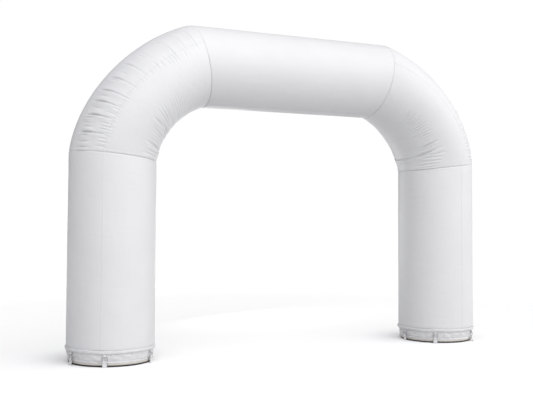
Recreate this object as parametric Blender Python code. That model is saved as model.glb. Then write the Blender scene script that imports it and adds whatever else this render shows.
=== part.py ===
"""Inflatable arch: two round legs, two curved bends and a beam, sewn from white coated cloth.

The frame is metres with +Z up. The arch spans X, its front faces -Y, and its two feet stand on z = 0
with the origin midway between them. Each air-filled section is one closed solid, like a cushion. The
sections meet at sewn cross seams. Each foot is closed by a skirt band, a folded welt, a rolled edge and
a dark base sheet, and six hanger tabs hold a steel ring each, with a folded webbing strap in it.
"""
import math

import bpy
import numpy as np

# Tube and arch
TUBE_RADIUS = 0.500
LEG_SPACING = 4.517
BEAM_HEIGHT = 3.454
BEAM_RADIUS = 0.490
LEG_JOINT_HEIGHT = 2.326
LEG_JOINT_TILT = math.radians(6.1)
BEAM_JOINT_X = 1.263
BEAM_JOINT_TILT = math.radians(12.2)
BEND_OUTER_KINKS = (math.radians(8.2), math.radians(17.2))
BEND_INNER_KINKS = (math.radians(4.1), math.radians(18.2))
BEND_OUTER_PULL = 0.337
BEND_INNER_PULL = 0.346
BEND_SWELL = 0.075
BEND_OUTER_LENGTH = 2.196
GAP = 0.0003

# Seams: a shallow channel along the cloth and a pinched one around each joint
SEAM_DEPTH = 0.003
SEAM_HALF_WIDTH = math.radians(1.6)
JOINT_PINCH = 0.010
JOINT_PINCH_REACH = 0.035
LEG_SEAM_ANGLE = {"left": 62.0, "right": 82.5}
BEND_SEAM_ANGLE = 63.0
BEAM_SEAM_ANGLE = 162.0

# Folds sewn into the outer panel: place along the bend, angles that it spans, depth in metres
OUTER_FOLDS = (
    {"place": 0.050, "start": 18, "end": 52, "depth": 0.007},
    {"place": 0.105, "start": 18, "end": 63, "depth": 0.011},
    {"place": 0.210, "start": 18, "end": 63, "depth": 0.011},
    {"place": 0.290, "start": 20, "end": 63, "depth": 0.011},
    {"place": 0.360, "start": 20, "end": 63, "depth": 0.010},
    {"place": 0.440, "start": 22, "end": 65, "depth": 0.009},
    {"place": 0.540, "start": 24, "end": 63, "depth": 0.006},
    {"place": 0.850, "start": 28, "end": 72, "depth": 0.005},
)
# Slack creases in the wrap-around panel, near the inside of each bend
INNER_FOLDS = {
    "left": (
        {"place": 0.030, "start": 112, "end": 152, "depth": 0.006},
        {"place": 0.140, "start": 108, "end": 160, "depth": 0.011},
        {"place": 0.250, "start": 112, "end": 152, "depth": 0.006},
    ),
    "right": (
        {"place": 0.030, "start": 112, "end": 156, "depth": 0.007},
        {"place": 0.090, "start": 112, "end": 156, "depth": 0.007},
        {"place": 0.165, "start": 110, "end": 190, "depth": 0.014},
        {"place": 0.250, "start": 112, "end": 152, "depth": 0.008},
    ),
}
FOLD_HALF_WIDTH = 0.018
FOLD_SHARPNESS = 1.6
FOLD_CREST = 0.35
FOLD_FADE = math.radians(9.0)
FOLD_LEFT_AT_SEAM = 0.15

# Feet, each stacked from the floor up
BASE_THICKNESS = 0.012
BASE_RADIUS = 0.468
EDGE_TOP = 0.042
EDGE_RADIUS = 0.478
EDGE_SEAT_RADIUS = 0.455
WELT_BOTTOM = 0.149
WELT_TOP = 0.183
WELT_RADIUS = 0.512
WELT_SEAT_RADIUS = 0.480
LEG_HEM_TUCK = 0.008
LEG_HEM_RISE = 0.014
SKIRT_TOP_RADIUS = 0.496
SKIRT_FOOT_RADIUS = 0.477
WELT_WAVE = 0.002
SKIRT_CREASE = 0.0025
SKIRT_CREASE_WAVES = (7, 11)

# Anchors: angle round the foot from the front (-Y) towards +X, and how far the strap's end kicks out
ANCHORS = {
    "left": (
        {"angle": -73.0, "kick": 0.014},
        {"angle": -21.5, "kick": 0.005},
        {"angle": 48.5, "kick": 0.012},
        {"angle": 108.0, "kick": 0.008},
        {"angle": 168.0, "kick": 0.006},
        {"angle": 227.0, "kick": 0.010},
    ),
    "right": (
        {"angle": -88.0, "kick": 0.008},
        {"angle": -36.0, "kick": 0.006},
        {"angle": 34.5, "kick": 0.030},
        {"angle": 94.0, "kick": 0.008},
        {"angle": 153.0, "kick": 0.006},
        {"angle": 213.0, "kick": 0.012},
    ),
}
RING_RADIUS = 0.029
RING_WIRE = 0.0035
RING_CENTRE_Z = 0.093
RING_STAND_OFF = 0.0105
WEBBING = 0.0016
LAYER_GAP = 0.0004
HANGER_WIDTH = 0.026
STRAP_TOP_WIDTH = 0.042
STRAP_WIDTH = 0.050
STRAP_END_Z = 0.0024
STRAP_CLOSED_AT = 0.6
WEBBING_TURN = math.radians(45.0)

# Facets: columns of a bend from its outer side to its inner side, closer together where it folds
BEND_COLUMNS = (0, 13, 22, 31, 41, 52, 75, 91, 107, 117, 128, 138, 150, 165, 180)
PLAIN_ROWS = 13
FOOT_STEPS = 6
RING_STEPS = 14
WIRE_STEPS = 6
WEBBING_STEPS = 4
SIDES = {"left": -1.0, "right": 1.0}

FABRIC = {"name": "white coated polyester", "colour": (0.86, 0.86, 0.87, 1.0), "rough": 0.5, "metal": 0.0}
WELT_CLOTH = {"name": "white welt cloth", "colour": (0.84, 0.84, 0.85, 1.0), "rough": 0.55, "metal": 0.0}
EDGE_CLOTH = {"name": "cream edge cloth", "colour": (0.82, 0.78, 0.70, 1.0), "rough": 0.6, "metal": 0.0}
BASE_CLOTH = {"name": "dark base sheet", "colour": (0.03, 0.03, 0.03, 1.0), "rough": 0.7, "metal": 0.0}
WEBBING_CLOTH = {"name": "white webbing", "colour": (0.84, 0.84, 0.84, 1.0), "rough": 0.7, "metal": 0.0}
RING_STEEL = {"name": "plated steel", "colour": (0.62, 0.62, 0.62, 1.0), "rough": 0.25, "metal": 1.0}


def clear_scene():
    """Removes what the scene holds."""
    for item in list(bpy.data.objects):
        bpy.data.objects.remove(item, do_unlink=True)


def finish(spec):
    """The Principled material that a finish names, made once."""
    found = bpy.data.materials.get(spec["name"])
    if found:
        return found
    made = bpy.data.materials.new(spec["name"])
    made.use_nodes = True
    shader = made.node_tree.nodes["Principled BSDF"]
    shader.inputs["Base Color"].default_value = spec["colour"]
    shader.inputs["Roughness"].default_value = spec["rough"]
    shader.inputs["Metallic"].default_value = spec["metal"]
    return made


def add_object(name, points, faces, spec):
    """One named solid from its points and faces."""
    mesh = bpy.data.meshes.new(name)
    mesh.from_pydata([tuple(map(float, p)) for p in points], [], faces)
    mesh.materials.append(finish(spec))
    mesh.shade_smooth()
    mesh.set_sharp_from_angle(angle=math.radians(40))
    made = bpy.data.objects.new(name, mesh)
    bpy.context.scene.collection.objects.link(made)
    return made


def grid_faces(rows, columns, close_rows=False, flip=False):
    """Quads between the rows of a grid whose columns run all the way round."""
    faces = []
    for i in range(rows if close_rows else rows - 1):
        for j in range(columns):
            a = i * columns + j
            b = i * columns + (j + 1) % columns
            c = (i + 1) % rows * columns + (j + 1) % columns
            d = (i + 1) % rows * columns + j
            faces.append((a, d, c, b) if flip else (a, b, c, d))
    return faces


def capped_tube(name, rows, spec, flip=False):
    """A closed solid: rows of points round an axis, each end closed by a fan about its centre."""
    rows = np.asarray(rows)
    count, columns = rows.shape[:2]
    faces = grid_faces(count, columns, flip=flip)
    first = count * columns
    last = (count - 1) * columns
    for j in range(columns):
        k = (j + 1) % columns
        low = (first, k, j)
        high = (first + 1, last + j, last + k)
        faces.append(low[::-1] if flip else low)
        faces.append(high[::-1] if flip else high)
    ends = [rows[0].mean(axis=0), rows[-1].mean(axis=0)]
    return add_object(name, [*rows.reshape(-1, 3), *ends], faces, spec)


def closed_ring(name, rows, spec, flip=False):
    """A ring-shaped solid: rows of points round its axis, the last row joined to the first."""
    rows = np.asarray(rows)
    faces = grid_faces(rows.shape[0], rows.shape[1], close_rows=True, flip=flip)
    return add_object(name, rows.reshape(-1, 3), faces, spec)


def cubic(start, end, kink_start, kink_end, pull, t):
    """A bend's edge: a cubic that leaves the leg leaning in and meets the beam a little short of level."""
    start, end = np.asarray(start), np.asarray(end)
    handle = pull * np.linalg.norm(end - start)
    near = start + handle * np.array([-math.sin(kink_start), math.cos(kink_start)])
    far = end - handle * np.array([-math.cos(kink_end), math.sin(kink_end)])
    t = np.asarray(t)[:, None]
    return (1 - t) ** 3 * start + 3 * (1 - t) ** 2 * t * near + 3 * (1 - t) * t * t * far + t ** 3 * end


def bend_edges(t):
    """The bend's outer and inner edges in the X-Z plane, for the side at +X."""
    rise = TUBE_RADIUS * math.tan(LEG_JOINT_TILT)
    lean = BEAM_RADIUS * math.tan(BEAM_JOINT_TILT)
    leg_x = LEG_SPACING / 2
    outer = cubic((leg_x + TUBE_RADIUS, LEG_JOINT_HEIGHT + rise),
                  (BEAM_JOINT_X + lean, BEAM_HEIGHT + BEAM_RADIUS),
                  *BEND_OUTER_KINKS, BEND_OUTER_PULL, t)
    inner = cubic((leg_x - TUBE_RADIUS, LEG_JOINT_HEIGHT - rise),
                  (BEAM_JOINT_X - lean, BEAM_HEIGHT - BEAM_RADIUS),
                  *BEND_INNER_KINKS, BEND_INNER_PULL, t)
    return outer, inner


def seam_dip(angle, seams):
    """How far the cloth is drawn in at an angle, by the seams that run lengthwise."""
    dip = np.zeros_like(angle)
    for seam in seams:
        away = np.abs((angle - seam + math.pi) % (2 * math.pi) - math.pi)
        dip = np.maximum(dip, SEAM_DEPTH * np.clip(1 - away / SEAM_HALF_WIDTH, 0, 1))
    return dip


def columns_with_seams(angles, seams):
    """The given angles, with three more at each seam and none closer to it than those."""
    kept = [a for a in angles
            if all(abs((a - s + math.pi) % (2 * math.pi) - math.pi) > 2.2 * SEAM_HALF_WIDTH for s in seams)]
    for seam in seams:
        kept += [seam - SEAM_HALF_WIDTH, seam, seam + SEAM_HALF_WIDTH]
    return np.array(sorted(a % (2 * math.pi) for a in kept))


def joint_pinch(distance):
    """How far the cloth is drawn in at a distance from a cross seam."""
    return JOINT_PINCH * np.exp(-2 * distance / JOINT_PINCH_REACH)


def fold_offset(place, angle, fold):
    """A fold's height over the cloth: a valley on its line with a lower crest beside it."""
    across = (place - fold["place"]) * BEND_OUTER_LENGTH / FOLD_HALF_WIDTH
    valley = -np.exp(-(across * FOLD_SHARPNESS) ** 2)
    crest = sum(np.exp(-((across + edge) * FOLD_SHARPNESS) ** 2) for edge in (-1, 1)) * FOLD_CREST
    turn = np.minimum(angle, 2 * math.pi - angle)
    start, end = math.radians(fold["start"]), math.radians(fold["end"])
    begun = np.clip((turn - start) / FOLD_FADE, 0, 1)
    ended = np.clip((end - turn) / FOLD_FADE + FOLD_LEFT_AT_SEAM, 0, 1)
    return fold["depth"] * (valley + crest) * begun * ended


def bend_places(folds):
    """Rows along a bend: close together at the joints and at each fold, and sparse between."""
    step = FOLD_HALF_WIDTH / BEND_OUTER_LENGTH
    near = JOINT_PINCH_REACH / BEND_OUTER_LENGTH
    wanted = [0.0, near * 0.5, 1.0 - near * 0.5, 1.0]
    for fold in folds:
        wanted += [fold["place"] + k * step for k in (-1.0, 0.0, 1.0)]
    for place in np.linspace(0.0, 1.0, PLAIN_ROWS):
        if min(abs(place - w) for w in wanted) > 0.4 / PLAIN_ROWS:
            wanted.append(place)
    rows = []
    for place in sorted(wanted):
        if not rows or place - rows[-1] > step / 2:
            rows.append(place)
    rows[-1] = 1.0
    return np.array(rows)


def make_bend(side):
    """One curved corner section, from its leg joint to its beam joint."""
    sign = SIDES[side]
    folds = OUTER_FOLDS + INNER_FOLDS[side]
    t = bend_places(folds)
    seam = math.radians(BEND_SEAM_ANGLE)
    seams = (seam, 2 * math.pi - seam)
    turns = np.radians([*BEND_COLUMNS, *(360 - a for a in BEND_COLUMNS[1:-1])])
    angle = columns_with_seams(turns, seams)
    outer, inner = bend_edges(t)
    middle, reach = (outer + inner) / 2, (outer - inner) / 2
    depth = TUBE_RADIUS + (BEAM_RADIUS - TUBE_RADIUS) * t + BEND_SWELL * np.sin(math.pi * t)
    from_joint = np.minimum(t, 1 - t) * BEND_OUTER_LENGTH
    places, angles = t[:, None], angle[None, :]
    offset = -seam_dip(angles, seams) - joint_pinch(from_joint)[:, None]
    for fold in folds:
        offset = offset + fold_offset(places, angles, fold)
    grow = 1 + offset / TUBE_RADIUS
    x = middle[:, None, 0] + reach[:, None, 0] * np.cos(angles) * grow
    z = middle[:, None, 1] + reach[:, None, 1] * np.cos(angles) * grow
    y = -depth[:, None] * np.sin(angles) * grow
    z[0] += GAP / 2
    x[-1] += GAP / 2
    rows = np.stack([sign * x, y, z], axis=-1)
    return capped_tube(f"bend_{side}", rows, FABRIC, flip=sign > 0)


def make_beam():
    """The level section between the two bends."""
    seam = math.radians(BEAM_SEAM_ANGLE)
    angle = columns_with_seams(np.radians(np.arange(0, 360, 10)), (seam,))
    lean = math.tan(BEAM_JOINT_TILT)
    inset = np.array([0.0, JOINT_PINCH_REACH * 0.5, JOINT_PINCH_REACH * 1.6])
    rows = []
    for sign in (-1.0, 1.0):
        end = []
        for distance in inset:
            radius = BEAM_RADIUS - seam_dip(angle, (seam,)) - joint_pinch(distance)
            x = BEAM_JOINT_X - GAP / 2 - distance + radius * np.cos(angle) * lean
            y, z = -radius * np.sin(angle), BEAM_HEIGHT + radius * np.cos(angle)
            end.append(np.stack([sign * x, y, z], axis=-1))
        rows += end if sign < 0 else end[::-1]
    return capped_tube("beam", rows, FABRIC)


def leg_seam(side):
    """A leg seam's angle round its foot, turned from its angle off the arch's outer side."""
    off_outer = math.radians(LEG_SEAM_ANGLE[side])
    return (off_outer - math.pi / 2 if side == "left" else math.pi / 2 - off_outer) % (2 * math.pi)


def foot_columns(side):
    """Angles round a foot, from the front to +X: even steps from anchor to anchor, and the leg's seam."""
    marks = [math.radians(a["angle"]) for a in ANCHORS[side]]
    marks.append(marks[0] + 2 * math.pi)
    angles = []
    for start, end in zip(marks[:-1], marks[1:]):
        angles += [start + (end - start) * k / FOOT_STEPS for k in range(FOOT_STEPS)]
    return columns_with_seams(angles, (leg_seam(side),))


def around(side, radius, angle, height):
    """Points round a foot's axis at the given radii, angles and heights."""
    centre = SIDES[side] * LEG_SPACING / 2
    radius, angle, height = np.broadcast_arrays(radius, angle, height)
    return np.stack([centre + radius * np.sin(angle), -radius * np.cos(angle), height], axis=-1)


def make_leg(side):
    """An upright section, from the seat of its welt to its tilted joint with the bend."""
    sign = SIDES[side]
    angle = foot_columns(side)
    dip = seam_dip(angle, (leg_seam(side),))
    profile = (
        (WELT_SEAT_RADIUS, (WELT_BOTTOM + WELT_TOP) / 2 + GAP / 2),
        (WELT_SEAT_RADIUS, WELT_TOP + GAP),
        (TUBE_RADIUS - LEG_HEM_TUCK, WELT_TOP + GAP),
        (TUBE_RADIUS, WELT_TOP + LEG_HEM_RISE),
        (TUBE_RADIUS, LEG_JOINT_HEIGHT / 2),
    )
    rows = [around(side, radius - (dip if radius > WELT_SEAT_RADIUS else 0), angle, height)
            for radius, height in profile]
    for distance in (JOINT_PINCH_REACH * 1.6, JOINT_PINCH_REACH * 0.5, 0.0):
        radius = TUBE_RADIUS - dip - joint_pinch(distance)
        rise = sign * radius * np.sin(angle) * math.tan(LEG_JOINT_TILT)
        rows.append(around(side, radius, angle, LEG_JOINT_HEIGHT - GAP / 2 - distance + rise))
    return capped_tube(f"leg_{side}", rows, FABRIC)


def skirt_radius(side, angle, height):
    """The skirt band's radius: drawn in towards the floor, with soft creases running round it."""
    down = np.clip((WELT_BOTTOM - height) / (WELT_BOTTOM - EDGE_TOP), 0, 1)
    taper = SKIRT_TOP_RADIUS + (SKIRT_FOOT_RADIUS - SKIRT_TOP_RADIUS) * down ** 1.4
    slow, quick = SKIRT_CREASE_WAVES
    shift = 0.8 if side == "left" else 2.1
    crease = np.sin(slow * angle + shift) * np.sin(quick * angle + 5 * down)
    return taper + SKIRT_CREASE * crease * np.sin(math.pi * down)


def make_skirt(side):
    """The band of cloth that closes a foot, from the base sheet up to the seat of the welt."""
    angle = foot_columns(side)
    heights = (EDGE_TOP + GAP, 0.070, 0.108, WELT_BOTTOM - GAP)
    rows = [around(side, EDGE_SEAT_RADIUS, angle, BASE_THICKNESS + GAP),
            around(side, EDGE_SEAT_RADIUS, angle, EDGE_TOP + GAP)]
    rows += [around(side, skirt_radius(side, angle, height), angle, height) for height in heights]
    rows += [around(side, WELT_SEAT_RADIUS, angle, WELT_BOTTOM - GAP),
             around(side, WELT_SEAT_RADIUS, angle, (WELT_BOTTOM + WELT_TOP) / 2 - GAP / 2)]
    return capped_tube(f"skirt_{side}", rows, FABRIC)


def make_welt(side):
    """The padded fold of cloth over the seam between leg and skirt, a little uneven."""
    angle = foot_columns(side)
    wave = WELT_WAVE * (0.6 * np.sin(5 * angle) + 0.4 * np.sin(13 * angle + 1.0))
    half = (WELT_TOP - WELT_BOTTOM) / 2
    middle = (WELT_BOTTOM + WELT_TOP) / 2
    # Each row: radius, height off the middle, share of the wave
    profile = (
        (WELT_SEAT_RADIUS + GAP, -half, 0.0),
        (WELT_RADIUS - 0.010, -half, 0.5),
        (WELT_RADIUS, -half * 0.45, 1.0),
        (WELT_RADIUS - 0.001, half * 0.40, 1.0),
        (WELT_RADIUS - 0.012, half, 0.5),
        (WELT_SEAT_RADIUS + GAP, half, 0.0),
    )
    rows = [around(side, radius + wave * swing, angle, middle + offset) for radius, offset, swing in profile]
    return closed_ring(f"welt_{side}", rows, WELT_CLOTH)


def make_edge(side):
    """The cream edge, rolled under the skirt where it meets the base sheet."""
    angle = foot_columns(side)
    low = BASE_THICKNESS + GAP
    profile = (
        (EDGE_SEAT_RADIUS + GAP, low),
        (EDGE_RADIUS - 0.007, low),
        (EDGE_RADIUS, low + 0.009),
        (EDGE_RADIUS - 0.001, EDGE_TOP - 0.005),
        (EDGE_RADIUS - 0.005, EDGE_TOP),
        (EDGE_SEAT_RADIUS + GAP, EDGE_TOP),
    )
    rows = [around(side, radius, angle, height) for radius, height in profile]
    return closed_ring(f"edge_{side}", rows, EDGE_CLOTH)


def make_base(side):
    """The dark base sheet that the foot stands on."""
    angle = foot_columns(side)
    profile = ((BASE_RADIUS - 0.003, 0.0), (BASE_RADIUS, 0.003),
               (BASE_RADIUS, BASE_THICKNESS - 0.002), (BASE_RADIUS - 0.002, BASE_THICKNESS))
    rows = [around(side, radius, angle, height) for radius, height in profile]
    return capped_tube(f"base_{side}", rows, BASE_CLOTH)


def from_anchor(side, angle, along, out, height):
    """World points of a place by an anchor: along the foot's tangent, out from its axis, and height."""
    centre = SIDES[side] * LEG_SPACING / 2
    x = centre + out * math.sin(angle) + along * math.cos(angle)
    y = -out * math.cos(angle) + along * math.sin(angle)
    return np.stack(np.broadcast_arrays(x, y, height), axis=-1)


def ring_out(side, angle):
    """How far a ring's plane stands from its foot's axis: just off the skirt at the ring's top."""
    return float(skirt_radius(side, angle, RING_CENTRE_Z + RING_RADIUS)) + RING_STAND_OFF


def make_ring(side, number, angle):
    """A round steel ring, hanging upright in its tab."""
    turn = 2 * math.pi * np.arange(RING_STEPS) / RING_STEPS
    wire = 2 * math.pi * np.arange(WIRE_STEPS) / WIRE_STEPS
    rows = []
    for a in turn:
        reach = RING_RADIUS + RING_WIRE * np.cos(wire)
        rows.append(from_anchor(side, angle, reach * math.sin(a),
                                ring_out(side, angle) + RING_WIRE * np.sin(wire),
                                RING_CENTRE_Z + reach * math.cos(a)))
    return closed_ring(f"ring_{side}_{number}", rows, RING_STEEL)


def webbing_band(name, side, angle, across, out, height):
    """A flat band of webbing: grids of its middle line, given a thickness square to its own path."""
    step_out, step_up = np.gradient(out, axis=0), np.gradient(height, axis=0)
    length = np.hypot(step_out, step_up)
    shift_out, shift_up = -step_up / length * WEBBING / 2, step_out / length * WEBBING / 2
    front = from_anchor(side, angle, across, out + shift_out, height + shift_up)
    back = from_anchor(side, angle, across, out - shift_out, height - shift_up)
    rows = np.concatenate([front, back[:, ::-1]], axis=1)
    columns = rows.shape[1]
    faces = grid_faces(len(rows), columns, flip=True)
    last = (len(rows) - 1) * columns
    for j in range(columns // 2 - 1):
        faces.append((j, j + 1, columns - 2 - j, columns - 1 - j))
        faces.append((last + j + 1, last + j, last + columns - 1 - j, last + columns - 2 - j))
    return add_object(name, rows.reshape(-1, 3), faces, WEBBING_CLOTH)


def webbing_clearance():
    """From a ring's wire to the middle of webbing bent round it, with room for the facets of both."""
    facet = RING_RADIUS * (1 - math.cos(math.pi / RING_STEPS))
    return (RING_WIRE + facet + GAP + WEBBING / 2) / math.cos(WEBBING_TURN / 2)


def wire_height(across, sign):
    """The ring wire's centre line above (+1) or below (-1) the ring's centre, and its slope there."""
    height = np.sqrt(RING_RADIUS ** 2 - across ** 2)
    return RING_CENTRE_Z + sign * height, RING_RADIUS / height


def make_hanger(side, number, angle):
    """The tab: a loop of webbing from under the welt, down behind the ring's top and up its front."""
    across = np.linspace(-0.5, 0.5, WEBBING_STEPS)[None, :] * HANGER_WIDTH
    wire, slope = wire_height(across, 1)
    clear = webbing_clearance()
    plane = ring_out(side, angle)
    top = WELT_BOTTOM - WEBBING
    skirt = float(skirt_radius(side, angle, top)) - across ** 2 / (2 * SKIRT_TOP_RADIUS)
    behind = skirt + GAP + WEBBING / 2
    before = behind + WEBBING + LAYER_GAP
    out, height = [], []
    for share in (0.0, 0.45):
        out.append(behind + (plane - clear - behind) * share)
        height.append(top + (wire - top) * share + 0 * across)
    for turn in math.pi + WEBBING_TURN * np.arange(5):
        out.append(plane + clear * math.cos(turn) + 0 * across)
        height.append(wire + clear * slope * math.sin(turn))
    for share in (0.55, 1.0):
        out.append(plane + clear + (before - plane - clear) * share)
        height.append(wire + (top - wire) * share)
    name = f"hanger_{side}_{number}"
    return webbing_band(name, side, angle, across, np.concatenate(out), np.concatenate(height))


def make_strap(side, number, angle, kick):
    """The strap: webbing folded over the ring's foot, its two layers hanging together to the floor."""
    share = np.linspace(-0.5, 0.5, WEBBING_STEPS)[None, :]
    wire, slope = wire_height(share * STRAP_TOP_WIDTH, -1)
    clear = webbing_clearance()
    plane = ring_out(side, angle)
    pair = (WEBBING + LAYER_GAP) / 2
    lowest = RING_CENTRE_Z - RING_RADIUS
    fall = np.array([0.0, 0.25, 0.60, 1.0])
    leans = kick * fall ** 2
    slants = np.arctan2(np.gradient(leans), np.gradient(lowest * fall))
    out, height, across = [], [], []
    for sign in (1, -1):
        leg_out, leg_height, leg_across = [], [], []
        for s, lean, slant in zip(fall, leans, slants):
            ease = min(1.0, s / STRAP_CLOSED_AT)
            half_gap = clear + (pair - clear) * ease * ease * (3 - 2 * ease)
            level = wire + (lowest - wire) * ease
            middle = level + (STRAP_END_Z - level) * s
            leg_out.append(plane + lean + sign * half_gap * math.cos(slant) + 0 * share)
            leg_height.append(middle + sign * half_gap * math.sin(slant))
            leg_across.append(share * (STRAP_TOP_WIDTH + (STRAP_WIDTH - STRAP_TOP_WIDTH) * ease))
        turn = WEBBING_TURN * np.arange(1, 4)
        if sign > 0:
            out += leg_out[::-1]
            height += leg_height[::-1]
            across += leg_across[::-1]
            out += [plane + clear * math.cos(a) + 0 * share for a in turn]
            height += [wire + clear * slope * math.sin(a) for a in turn]
            across += [share * STRAP_TOP_WIDTH for a in turn]
        else:
            out += leg_out
            height += leg_height
            across += leg_across
    name = f"strap_{side}_{number}"
    across, out, height = (np.concatenate(rows) for rows in (across, out, height))
    return webbing_band(name, side, angle, across, out, height)


def make_foot(side):
    """Everything below a leg: skirt, welt, rolled edge, base sheet and six anchors."""
    make_base(side)
    make_edge(side)
    make_skirt(side)
    make_welt(side)
    for number, anchor in enumerate(ANCHORS[side], start=1):
        angle = math.radians(anchor["angle"])
        make_hanger(side, number, angle)
        make_ring(side, number, angle)
        make_strap(side, number, angle, anchor["kick"])


def build():
    """The whole arch."""
    clear_scene()
    for side in SIDES:
        make_foot(side)
        make_leg(side)
        make_bend(side)
    make_beam()


build()
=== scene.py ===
"""The looks of a white inflatable arch: its air-filled cloth sections, seams, feet, rings and straps.

Lengths are metres with +Z up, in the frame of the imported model. A section is a grid of rows along it and
columns round it. Angles round a section run from its outer side (0) over the front (90) to its inner
side (180), and both sides are worked out for the leg at +X, then mirrored for the one at -X.
"""
from __future__ import annotations

import logging
import math
from dataclasses import dataclass
from enum import Enum

import bpy
import numpy as np
from mathutils import Euler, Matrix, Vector

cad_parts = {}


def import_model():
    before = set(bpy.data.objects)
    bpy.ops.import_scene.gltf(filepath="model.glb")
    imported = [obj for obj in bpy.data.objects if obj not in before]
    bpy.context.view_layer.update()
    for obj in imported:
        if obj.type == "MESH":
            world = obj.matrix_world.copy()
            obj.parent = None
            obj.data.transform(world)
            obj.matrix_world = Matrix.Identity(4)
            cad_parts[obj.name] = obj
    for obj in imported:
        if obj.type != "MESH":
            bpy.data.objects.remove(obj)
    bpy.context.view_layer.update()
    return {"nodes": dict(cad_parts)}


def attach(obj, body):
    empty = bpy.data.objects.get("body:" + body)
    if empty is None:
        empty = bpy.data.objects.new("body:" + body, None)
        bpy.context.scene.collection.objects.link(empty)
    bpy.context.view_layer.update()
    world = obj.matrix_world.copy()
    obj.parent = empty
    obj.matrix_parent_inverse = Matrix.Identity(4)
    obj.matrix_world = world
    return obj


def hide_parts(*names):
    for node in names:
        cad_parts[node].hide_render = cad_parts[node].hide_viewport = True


Array = np.ndarray
Piece = bpy.types.Object
Material = bpy.types.Material
Node = bpy.types.Node
Socket = bpy.types.NodeSocket
NodeOwner = bpy.types.ID
Layers = tuple[tuple[float, tuple[int, int]], ...]
TURN = 2.0 * math.pi

log = logging.getLogger("inflatable_arch")


class Side(Enum):
    """Which half of the arch a piece belongs to. The value is the sign of its X."""

    LEFT = -1.0
    RIGHT = 1.0

    @property
    def word(self) -> str:
        """The side's name as the nodes spell it."""
        return self.name.lower()


@dataclass(frozen=True)
class Arch:
    """The driving sizes of the arch, in metres and radians."""

    tube_radius: float = 0.500
    leg_spacing: float = 4.517
    beam_height: float = 3.454
    beam_radius: float = 0.490
    leg_joint_height: float = 2.326
    leg_joint_tilt: float = math.radians(6.1)
    beam_joint_x: float = 1.263
    beam_joint_tilt: float = math.radians(12.2)
    outer_kinks: tuple[float, float] = (math.radians(8.2), math.radians(17.2))
    inner_kinks: tuple[float, float] = (math.radians(4.1), math.radians(18.2))
    outer_pull: float = 0.337
    inner_pull: float = 0.346
    bend_swell: float = 0.075
    gap: float = 0.0003

    @property
    def leg_x(self) -> float:
        """Distance of a leg's axis from the middle of the arch."""
        return self.leg_spacing / 2


@dataclass(frozen=True)
class FootSizes:
    """Heights and radii of a foot, from the floor up, in metres."""

    base_thickness: float = 0.012
    # The rim stands taller than the sheet, so that its black edge also paints the contact shadow under the
    # rolled edge.
    rim_height: float = 0.017
    base_radius: float = 0.468
    edge_top: float = 0.042
    edge_radius: float = 0.478
    edge_seat: float = 0.455
    welt_bottom: float = 0.149
    welt_top: float = 0.183
    welt_radius: float = 0.512
    welt_seat: float = 0.480
    skirt_top_radius: float = 0.496
    skirt_foot_radius: float = 0.477
    skirt_crease: float = 0.0025


def smooth(x: Array) -> Array:
    """Eases from 0 to 1: 3x squared minus 2x cubed, held at its ends."""
    x = np.clip(x, 0.0, 1.0)
    return x * x * (3.0 - 2.0 * x)


def window(x: Array, start: float, end: float, fade: float) -> Array:
    """1 between start and end, easing to 0 over fade at either end."""
    return smooth((x - start) / fade) * smooth((end - x) / fade)


def bell(x: Array, power: float = 2.0) -> Array:
    """A soft bump of height 1: the exponential of minus x to the power."""
    return np.exp(-np.abs(x) ** power)


def around_turn(angle: Array) -> Array:
    """An angle brought to between minus half a turn and half a turn."""
    return (angle + math.pi) % TURN - math.pi


def crowded(count: int, crowds: list[tuple[float, float, float]], closed: bool) -> Array:
    """Parameters from 0 to 1 that stand closer together where the cloth has more detail.

    The density is 1 plus, for each crowd, its weight times a bell about its centre. The parameters are
    where the running sum of the density passes even steps.

    Args:
        count: How many parameters.
        crowds: The centre, half width and weight of each crowd.
        closed: Whether 0 and 1 are the same place, so that 1 is left out.

    Returns:
        The parameters, rising.
    """
    fine = np.linspace(0.0, 1.0, 6000)
    density = np.ones_like(fine)
    for centre, width, weight in crowds:
        away = np.abs(fine - centre)
        if closed:
            away = np.minimum(away, 1.0 - away)
        density += weight * bell(away / width)
    total = np.concatenate([[0.0], np.cumsum((density[1:] + density[:-1]) / 2)])
    total /= total[-1]
    steps = np.arange(count) / count if closed else np.linspace(0.0, 1.0, count)
    return np.interp(steps, total, fine)


def slack(u: Array, v: Array, cells: tuple[int, int], seed: int) -> Array:
    """Soft unevenness, from -1 to 1: random heights on a lattice, eased between its points.

    Args:
        u: Place round the section from 0 to 1, where both ends meet.
        v: Place along the section from 0 to 1.
        cells: How many lattice cells there are round it and along it.
        seed: Which set of random heights.

    Returns:
        The heights on the grid of u and v.
    """
    around, along = cells
    lattice = np.random.default_rng(seed).uniform(-1.0, 1.0, (along + 2, around))
    u, v = np.broadcast_arrays(u, v)
    x, y = (u % 1.0) * around, np.clip(v, 0.0, 1.0) * along
    i, j = np.floor(x).astype(int), np.floor(y).astype(int)
    fx, fy = smooth(x - i), smooth(y - j)
    a, b = i % around, (i + 1) % around
    low = lattice[j, a] * (1 - fx) + lattice[j, b] * fx
    high = lattice[j + 1, a] * (1 - fx) + lattice[j + 1, b] * fx
    return low * (1 - fy) + high * fy


def normals(points: Array) -> Array:
    """Outward unit normals of a section's grid: its step along crossed with its step round."""
    along = np.gradient(points, axis=0)
    across = np.roll(points, -1, axis=1) - np.roll(points, 1, axis=1)
    normal = np.cross(along, across)
    return normal / np.linalg.norm(normal, axis=2, keepdims=True)


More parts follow.
